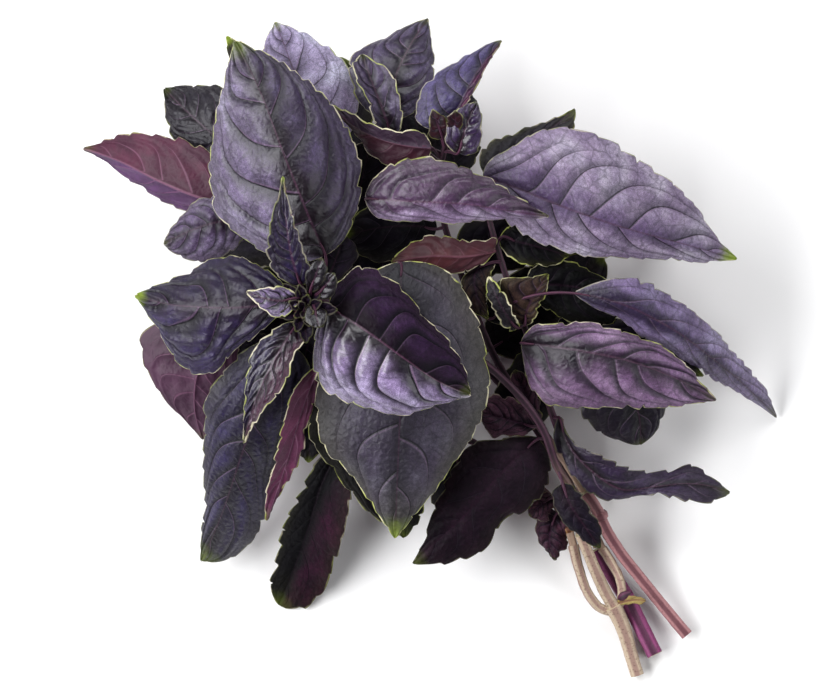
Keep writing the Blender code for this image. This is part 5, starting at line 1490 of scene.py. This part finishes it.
def stem_tree():
    tree = bpy.data.node_groups.new("ridged_stem", "GeometryNodeTree")
    source = geo_inputs(tree, {
        "Step": ("NodeSocketFloat", 0.0008),
        "Sides": ("NodeSocketInt", 24),
        "Ridges": ("NodeSocketFloat", 4.0),
        "Groove": ("NodeSocketFloat", 0.2),
        "Lumps": ("NodeSocketFloat", 0.0001),
        "Lump Scale": ("NodeSocketFloat", 350.0),
        "Bark": ("NodeSocketMaterial", None),
        "Cut End": ("NodeSocketMaterial", None),
    })
    even = link_nodes(
        tree, "GeometryNodeResampleCurve", {"Curve": source["Geometry"], "Length": source["Step"]},
        {"mode": "LENGTH"})
    far = link_nodes(tree, "GeometryNodeSplineParameter").outputs["Factor"]
    marked = link_nodes(
        tree, "GeometryNodeStoreNamedAttribute", {"Geometry": even.outputs[0], "Name": "along", "Value": far},
        {"data_type": "FLOAT"})
    radius = link_nodes(tree, "GeometryNodeInputRadius").outputs[0]
    swept = link_nodes(
        tree, "GeometryNodeCurveToMesh",
        {"Curve": marked.outputs[0], "Profile Curve": stem_profile(tree, source), "Scale": radius,
         "Fill Caps": True})
    place = link_nodes(tree, "GeometryNodeInputPosition").outputs[0]
    lumps = math_node(tree, "SUBTRACT", noise(tree, place, source["Lump Scale"], 2.0), 0.5)
    amount = times(tree, lumps, source["Lumps"])
    facing = link_nodes(tree, "GeometryNodeInputNormal").outputs[0]
    offset = link_nodes(tree, "ShaderNodeVectorMath", {0: facing, "Scale": amount}, {"operation": "SCALE"})
    lumpy = link_nodes(
        tree, "GeometryNodeSetPosition", {"Geometry": swept.outputs[0], "Offset": offset.outputs[0]})
    smooth_faces = link_nodes(tree, "GeometryNodeSetShadeSmooth", {"Geometry": lumpy.outputs[0]})
    real = link_nodes(tree, "GeometryNodeRealizeInstances", {"Geometry": smooth_faces.outputs[0]})
    bark = link_nodes(
        tree, "GeometryNodeSetMaterial", {"Geometry": real.outputs[0], "Material": source["Bark"]})
    corners = link_nodes(tree, "GeometryNodeInputMeshFaceNeighbors").outputs["Vertex Count"]
    cap = math_node(tree, "GREATER_THAN", corners, 4.5)
    ends = link_nodes(
        tree, "GeometryNodeSetMaterial",
        {"Geometry": bark.outputs[0], "Selection": cap, "Material": source["Cut End"]})
    output = tree.nodes.new("NodeGroupOutput")
    tree.links.new(ends.outputs[0], output.inputs["Geometry"])
    return tree


STEM_TREE = stem_tree()
print("stem tree:", len(STEM_TREE.nodes), "nodes")


# %% Paths with a radius become swept meshes
def stem_curve(name, paths):
    """A curve object with one spline for each (points in mm, radii in mm) pair."""
    curve = bpy.data.curves.new(name, "CURVE")
    curve.dimensions = "3D"
    for points, radii in paths:
        count = max(8, round(length_of(points) / 2))
        shares = np.linspace(0, 1, count)
        places = smooth(points, shares) * MM
        sizes = np.interp(shares, np.linspace(0, 1, len(radii)), radii) * MM
        spline = curve.splines.new("POLY")
        spline.points.add(count - 1)
        for point, place, size in zip(spline.points, places, sizes):
            point.co = (*place, 1)
            point.radius = size
    made = bpy.data.objects.new(name, curve)
    bpy.context.scene.collection.objects.link(made)
    return made


def run_tree(source, tree, values, name):
    """Applies a Geometry Nodes tree with these input values and returns the result as a plain mesh object."""
    modifier = source.modifiers.new("shape", "NODES")
    modifier.node_group = tree
    for label, value in values.items():
        modifier[socket_id(tree, label)] = value
    bpy.context.view_layer.update()
    evaluated = source.evaluated_get(bpy.context.evaluated_depsgraph_get())
    mesh = bpy.data.meshes.new_from_object(evaluated)
    mesh.name = name
    mesh.validate()
    made = bpy.data.objects.new(name, mesh)
    bpy.context.scene.collection.objects.link(made)
    bpy.data.objects.remove(source)
    return made


def swept(name, paths, bark, cut, **values):
    values |= {"Bark": bark, "Cut End": cut}
    return run_tree(stem_curve(name + "_path", paths), STEM_TREE, values, name)


# %% [markdown]
# ### Bark
#
# All stems share one group: it blends a colour for the grooves into one for the ridges, runs fine fibres
# along the stem and strews specks. The darker groove colour is partly the bark's own and partly painted
# shade in the hollows. The pale stem is tan with brown specks, the magenta one has dark lines in its
# grooves and the pink one is dusty. A cut end shows pale, grainy pith.

# %% Group: stem bark
BARK_RIDGES = 4
FIBRE_STRETCH = (9.0, 9.0, 3.0)


def bark_group():
    tree, source, give = new_group(
        "stem_bark", {"Ridge Color": COLOUR, "Groove Color": COLOUR, "Speck Color": COLOUR, "Specks": NUMBER},
        {"Color": COLOUR, "Height": NUMBER, "Fibres": NUMBER})
    place = link_nodes(tree, "ShaderNodeTexCoord").outputs["Object"]
    around = attribute(tree, "around").outputs["Fac"]
    turn = times(tree, around, 2 * math.pi)
    ridge = ramp(tree, math_node(tree, "COSINE", times(tree, turn, BARK_RIDGES)), 0.75, -0.6)
    round_about = link_nodes(
        tree, "ShaderNodeCombineXYZ",
        {0: math_node(tree, "SINE", turn), 1: math_node(tree, "COSINE", turn),
         2: attribute(tree, "along").outputs["Fac"]})
    stretched = link_nodes(
        tree, "ShaderNodeVectorMath", {0: round_about.outputs[0], 1: FIBRE_STRETCH},
        {"operation": "MULTIPLY"})
    fibre = noise(tree, stretched.outputs[0], 1.6, 5.0)
    speck = noise(tree, place, 1400.0, 2.0)
    patch = noise(tree, place, 160.0, 3.0)
    spots = times(tree, ramp(tree, speck, 0.55, 0.68), source["Specks"])
    # The grooves take the darker groove colour: partly the bark's own colour, partly painted shade in the
    # hollows
    blend = math_node(tree, "MULTIPLY_ADD", patch, 0.6, math_node(tree, "SUBTRACT", ridge, 0.3))
    colour = mix_colour(tree, link_nodes(tree, "ShaderNodeClamp", {0: blend}).outputs[0],
                        source["Groove Color"], source["Ridge Color"])
    colour = mix_colour(tree, ramp(tree, fibre, 0.42, 0.62, 0.0, 0.35), colour, source["Groove Color"])
    colour = mix_colour(tree, spots, colour, source["Speck Color"])
    give(Color=colour, Height=math_node(tree, "MULTIPLY_ADD", fibre, 0.8, speck), Fibres=fibre)
    return tree


BARK = bark_group()


def bark_material(name, ridge, groove, speck, specks, foot=None):
    """A bark. foot is a colour that the lower end of each stem starts from."""
    material, tree, shader = new_material(name)
    skin = place_group(tree, BARK, **{
        "Ridge Color": ridge, "Groove Color": groove, "Speck Color": speck, "Specks": specks})
    colour = skin["Color"]
    if foot:
        low = ramp(tree, attribute(tree, "along").outputs["Fac"], 0.0, 0.22, 0.85, 0.0)
        colour = mix_colour(tree, low, colour, foot)
    tree.links.new(colour, shader.inputs["Base Color"])
    rough = math_node(tree, "MULTIPLY_ADD", skin["Fibres"], 0.3, 0.35)
    tree.links.new(rough, shader.inputs["Roughness"])
    shader.inputs["Specular IOR Level"].default_value = 0.35
    set_bump(tree, shader, skin["Height"], 0.00012)
    return material


PITH = eye(0.82, 0.78, 0.66)
PITH_SHADE = eye(0.62, 0.55, 0.42)


def cut_material():
    """The pale, grainy pith of a cut end."""
    material, tree, shader = new_material("stem_cut")
    place = link_nodes(tree, "ShaderNodeTexCoord").outputs["Object"]
    fibre = noise(tree, place, 1800.0, 3.0)
    tree.links.new(mix_colour(tree, fibre, PITH_SHADE, PITH), shader.inputs["Base Color"])
    shader.inputs["Roughness"].default_value = 0.8
    set_bump(tree, shader, fibre, 0.0002)
    return material


PALE_BARK = bark_material(
    "pale_bark", ridge=eye(0.74, 0.67, 0.58), groove=eye(0.58, 0.47, 0.43),
    speck=eye(0.36, 0.26, 0.22), specks=0.6)
MAGENTA_BARK = bark_material(
    "magenta_skin", ridge=eye(0.52, 0.24, 0.42), groove=eye(0.27, 0.09, 0.21), speck=eye(0.18, 0.07, 0.12),
    specks=0.4)
PINK_BARK = bark_material(
    "pink_skin", ridge=eye(0.68, 0.49, 0.50), groove=eye(0.40, 0.24, 0.27),
    speck=eye(0.30, 0.17, 0.18), specks=0.4)
SCAR_BARK = bark_material(
    "scar_bark", ridge=eye(0.60, 0.44, 0.28), groove=eye(0.36, 0.21, 0.15),
    speck=eye(0.20, 0.10, 0.08), specks=0.7)
SHOOT_BARK = bark_material(
    "shoot_bark", ridge=eye(0.29, 0.17, 0.24), groove=eye(0.14, 0.07, 0.12), speck=eye(0.10, 0.05, 0.07),
    specks=0.3, foot=eye(0.62, 0.52, 0.44))
STALK_SKIN = bark_material(
    "stalk_skin", ridge=eye(0.34, 0.17, 0.27), groove=eye(0.17, 0.07, 0.14),
    speck=eye(0.12, 0.05, 0.09), specks=0.2)
CUT_END = cut_material()

# %% Woody stems
PALE_TRUNK = [(69.3, -109.4, 3.0), (67, -102, 4.3), (65, -95, 6), (61, -86, 9)]
PALE_FORKS = {
    "left": [(62, -88, 8), (57, -87, 9), (53, -82.5, 11), (50, -75, 13), (47.7, -65.8, 14.1)],
    "middle": [(61, -86, 9), (58.5, -81.5, 11), (55, -74, 15), (52.3, -67.5, 17.6), (50, -62, 20)],
    "right": [(62, -88, 8), (64, -83, 9.6), (63.6, -78, 10.8), (61, -72.5, 11.3), (57.4, -66.9, 12.1)],
}
FORK_RADII = {"left": (1.9, 1.7, 1.9), "middle": (2.5, 2.3, 2.1), "right": (1.8, 1.6, 1.8)}
MAGENTA_PATH = [(75.2, -102.6, 4.2), (70.2, -92.5, 3.7), (65.7, -83.5, 3.6), (60.5, -75, 3.6), (56, -67, 4.6)]
PINK_PATH = [(85.8, -95.8, 4), (72, -79, 8), (62.5, -66.8, 12), (58.3, -60, 15), (55.3, -53.5, 18),
             (51.5, -48, 20)]

pale_paths = [(PALE_TRUNK, (2.6, 2.6, 2.9, 3.3))]
pale_paths += [(path, FORK_RADII[name]) for name, path in PALE_FORKS.items()]
magenta_paths = [(MAGENTA_PATH, (3.3, 3.4, 3.1))]
pink_paths = [(PINK_PATH, (2.5, 2.4, 2.4, 2.5))]
pale = swept("pale_stem_bark", pale_paths, PALE_BARK, CUT_END, Groove=0.14, Lumps=0.0005)
magenta = swept("magenta_stem_skin", magenta_paths, MAGENTA_BARK, CUT_END, Groove=0.3, Lumps=0.0003)
pink = swept("pink_stem_skin", pink_paths, PINK_BARK, CUT_END, Groove=0.26, Lumps=0.0003)
dress(pale, "pale_stem")
dress(magenta, "magenta_stem")
dress(pink, "pink_stem")
print("woody stems:", [len(o.data.polygons) for o in (pale, magenta, pink)], "faces")

# %% [markdown]
# ### Bract, bud and leaf scars
#
# At the fork of the pale stem a dry yellow bract still clings, with a dark bud beside it. Higher up,
# swollen rings show where the lowest leaves dropped off. The bract is one more blade with a dry finish, and
# the bud and the rings are short swept stems whose radius swells and shrinks.

# %% Bract and bud
DRY_YELLOW = eye(0.62, 0.56, 0.30)
DRY_BROWN = eye(0.44, 0.33, 0.20)
DRY_VEIN = eye(0.42, 0.28, 0.18)
BRACT_SEED = 9000


def dry_material():
    """Papery yellow skin with brown veins."""
    material, tree, shader = new_material("dry_bract")
    facts = leaf_facts(tree)
    colour = mix_colour(tree, noise(tree, facts["skin"], 0.5, 4.0), DRY_YELLOW, DRY_BROWN)
    veins, net = veins_and_net(tree, facts, vein_width=0.05, cell_scale=0.8)
    colour = mix_colour(tree, veins["Midrib"], colour, DRY_VEIN)
    tree.links.new(colour, shader.inputs["Base Color"])
    shader.inputs["Roughness"].default_value = 0.7
    skin_bump(tree, shader, net, veins, cell_height=0.5, distance=0.00025)
    return material


DRY_BRACT = dry_material()
LOOKS["bract"] = Look(quilt=0.3, laterals=4, wave=0.5)
bract = blades_piece("pale_stem_bract", [BRACT], BRACT_SEED, (DRY_BRACT, DRY_BRACT, DRY_BRACT))
dress(bract, "pale_stem")
BUD_PATH = [(63.0, -84.0, 10.0), (65.0, -82.6, 11.5), (67.2, -81.6, 12.2)]
BUD_RADII = (0.8, 1.5, 1.6, 1.2, 0.3)
bud = swept("pale_stem_bud", [(BUD_PATH, BUD_RADII)], STALK_SKIN, STALK_SKIN, Ridges=3.0, Groove=0.2)
dress(bud, "pale_stem")
print("bract and bud:", len(bract.data.polygons), len(bud.data.polygons), "faces")


# %% Leaf scars
SCAR_LENGTH = 3.4


def swelling(path, share, radius, rise):
    """A short stretch of a path around this share of it, and radii that swell by rise in its middle."""
    half = SCAR_LENGTH / 2 / length_of(path)
    points = smooth(path, np.clip([share - half, share, share + half], 0, 1)).tolist()
    return points, (0.7 * radius, radius + 0.6 * rise, radius + rise, radius + 0.5 * rise, 0.7 * radius)


SCARS = {
    "front_shoot": (swelling(FRONT_SHOOT.path, 0.065, 1.6, 0.9), SCAR_BARK),
    "left_shoot": (swelling(LEFT_SHOOT.path, 0.05, 1.6, 0.8), SCAR_BARK),
    "pink_stem": (swelling(PINK_PATH, 0.84, 2.5, 0.9), PINK_BARK),
}
for node, (stretch, bark) in SCARS.items():
    scar = swept(node + "_scars", [stretch], bark, bark, Step=0.0003, Groove=0.12, Lumps=0.0006)
    dress(scar, node)
print("leaf scars:", len(SCARS))

# %% Stems and stalks of the shoots
SHOOT_RADII = (1.6, 1.1)
STALK_RADII = (0.85, 0.62, 0.6, 0.55, 0.3)
STALK_RUN_IN = 5.0


def stalk_path(leaf, stem_path):
    """From inside the stem to a little way along the blade, where the stalk becomes the midrib."""
    root = smooth(stem_path, [leaf.at])[0]
    base, inside = smooth(leaf.rib, [0, STALK_RUN_IN / length_of(leaf.rib)])
    bend = [(root + base) / 2 + np.array([0, 0, -0.06 * np.linalg.norm(base - root)])]
    return [root, *(leaf.via or bend), base, inside]


for shoot in SHOOTS:
    stem_paths = [(shoot.path, SHOOT_RADII)]
    stem = swept(shoot.name + "_stem", stem_paths, SHOOT_BARK, SHOOT_BARK, Groove=0.2, Lumps=0.0003)
    dress(stem, shoot.name)
    stalked = [leaf for leaf in shoot.leaves if not leaf.name.startswith("tuft_")]
    paths = [(stalk_path(leaf, shoot.path), STALK_RADII) for leaf in stalked]
    stalks = swept(shoot.name + "_stalks", paths, STALK_SKIN, STALK_SKIN, Sides=10, Ridges=2.0, Groove=0.15)
    dress(stalks, shoot.name)
    print(stalks.name, len(paths), "stalks,", len(stalks.data.polygons), "faces")
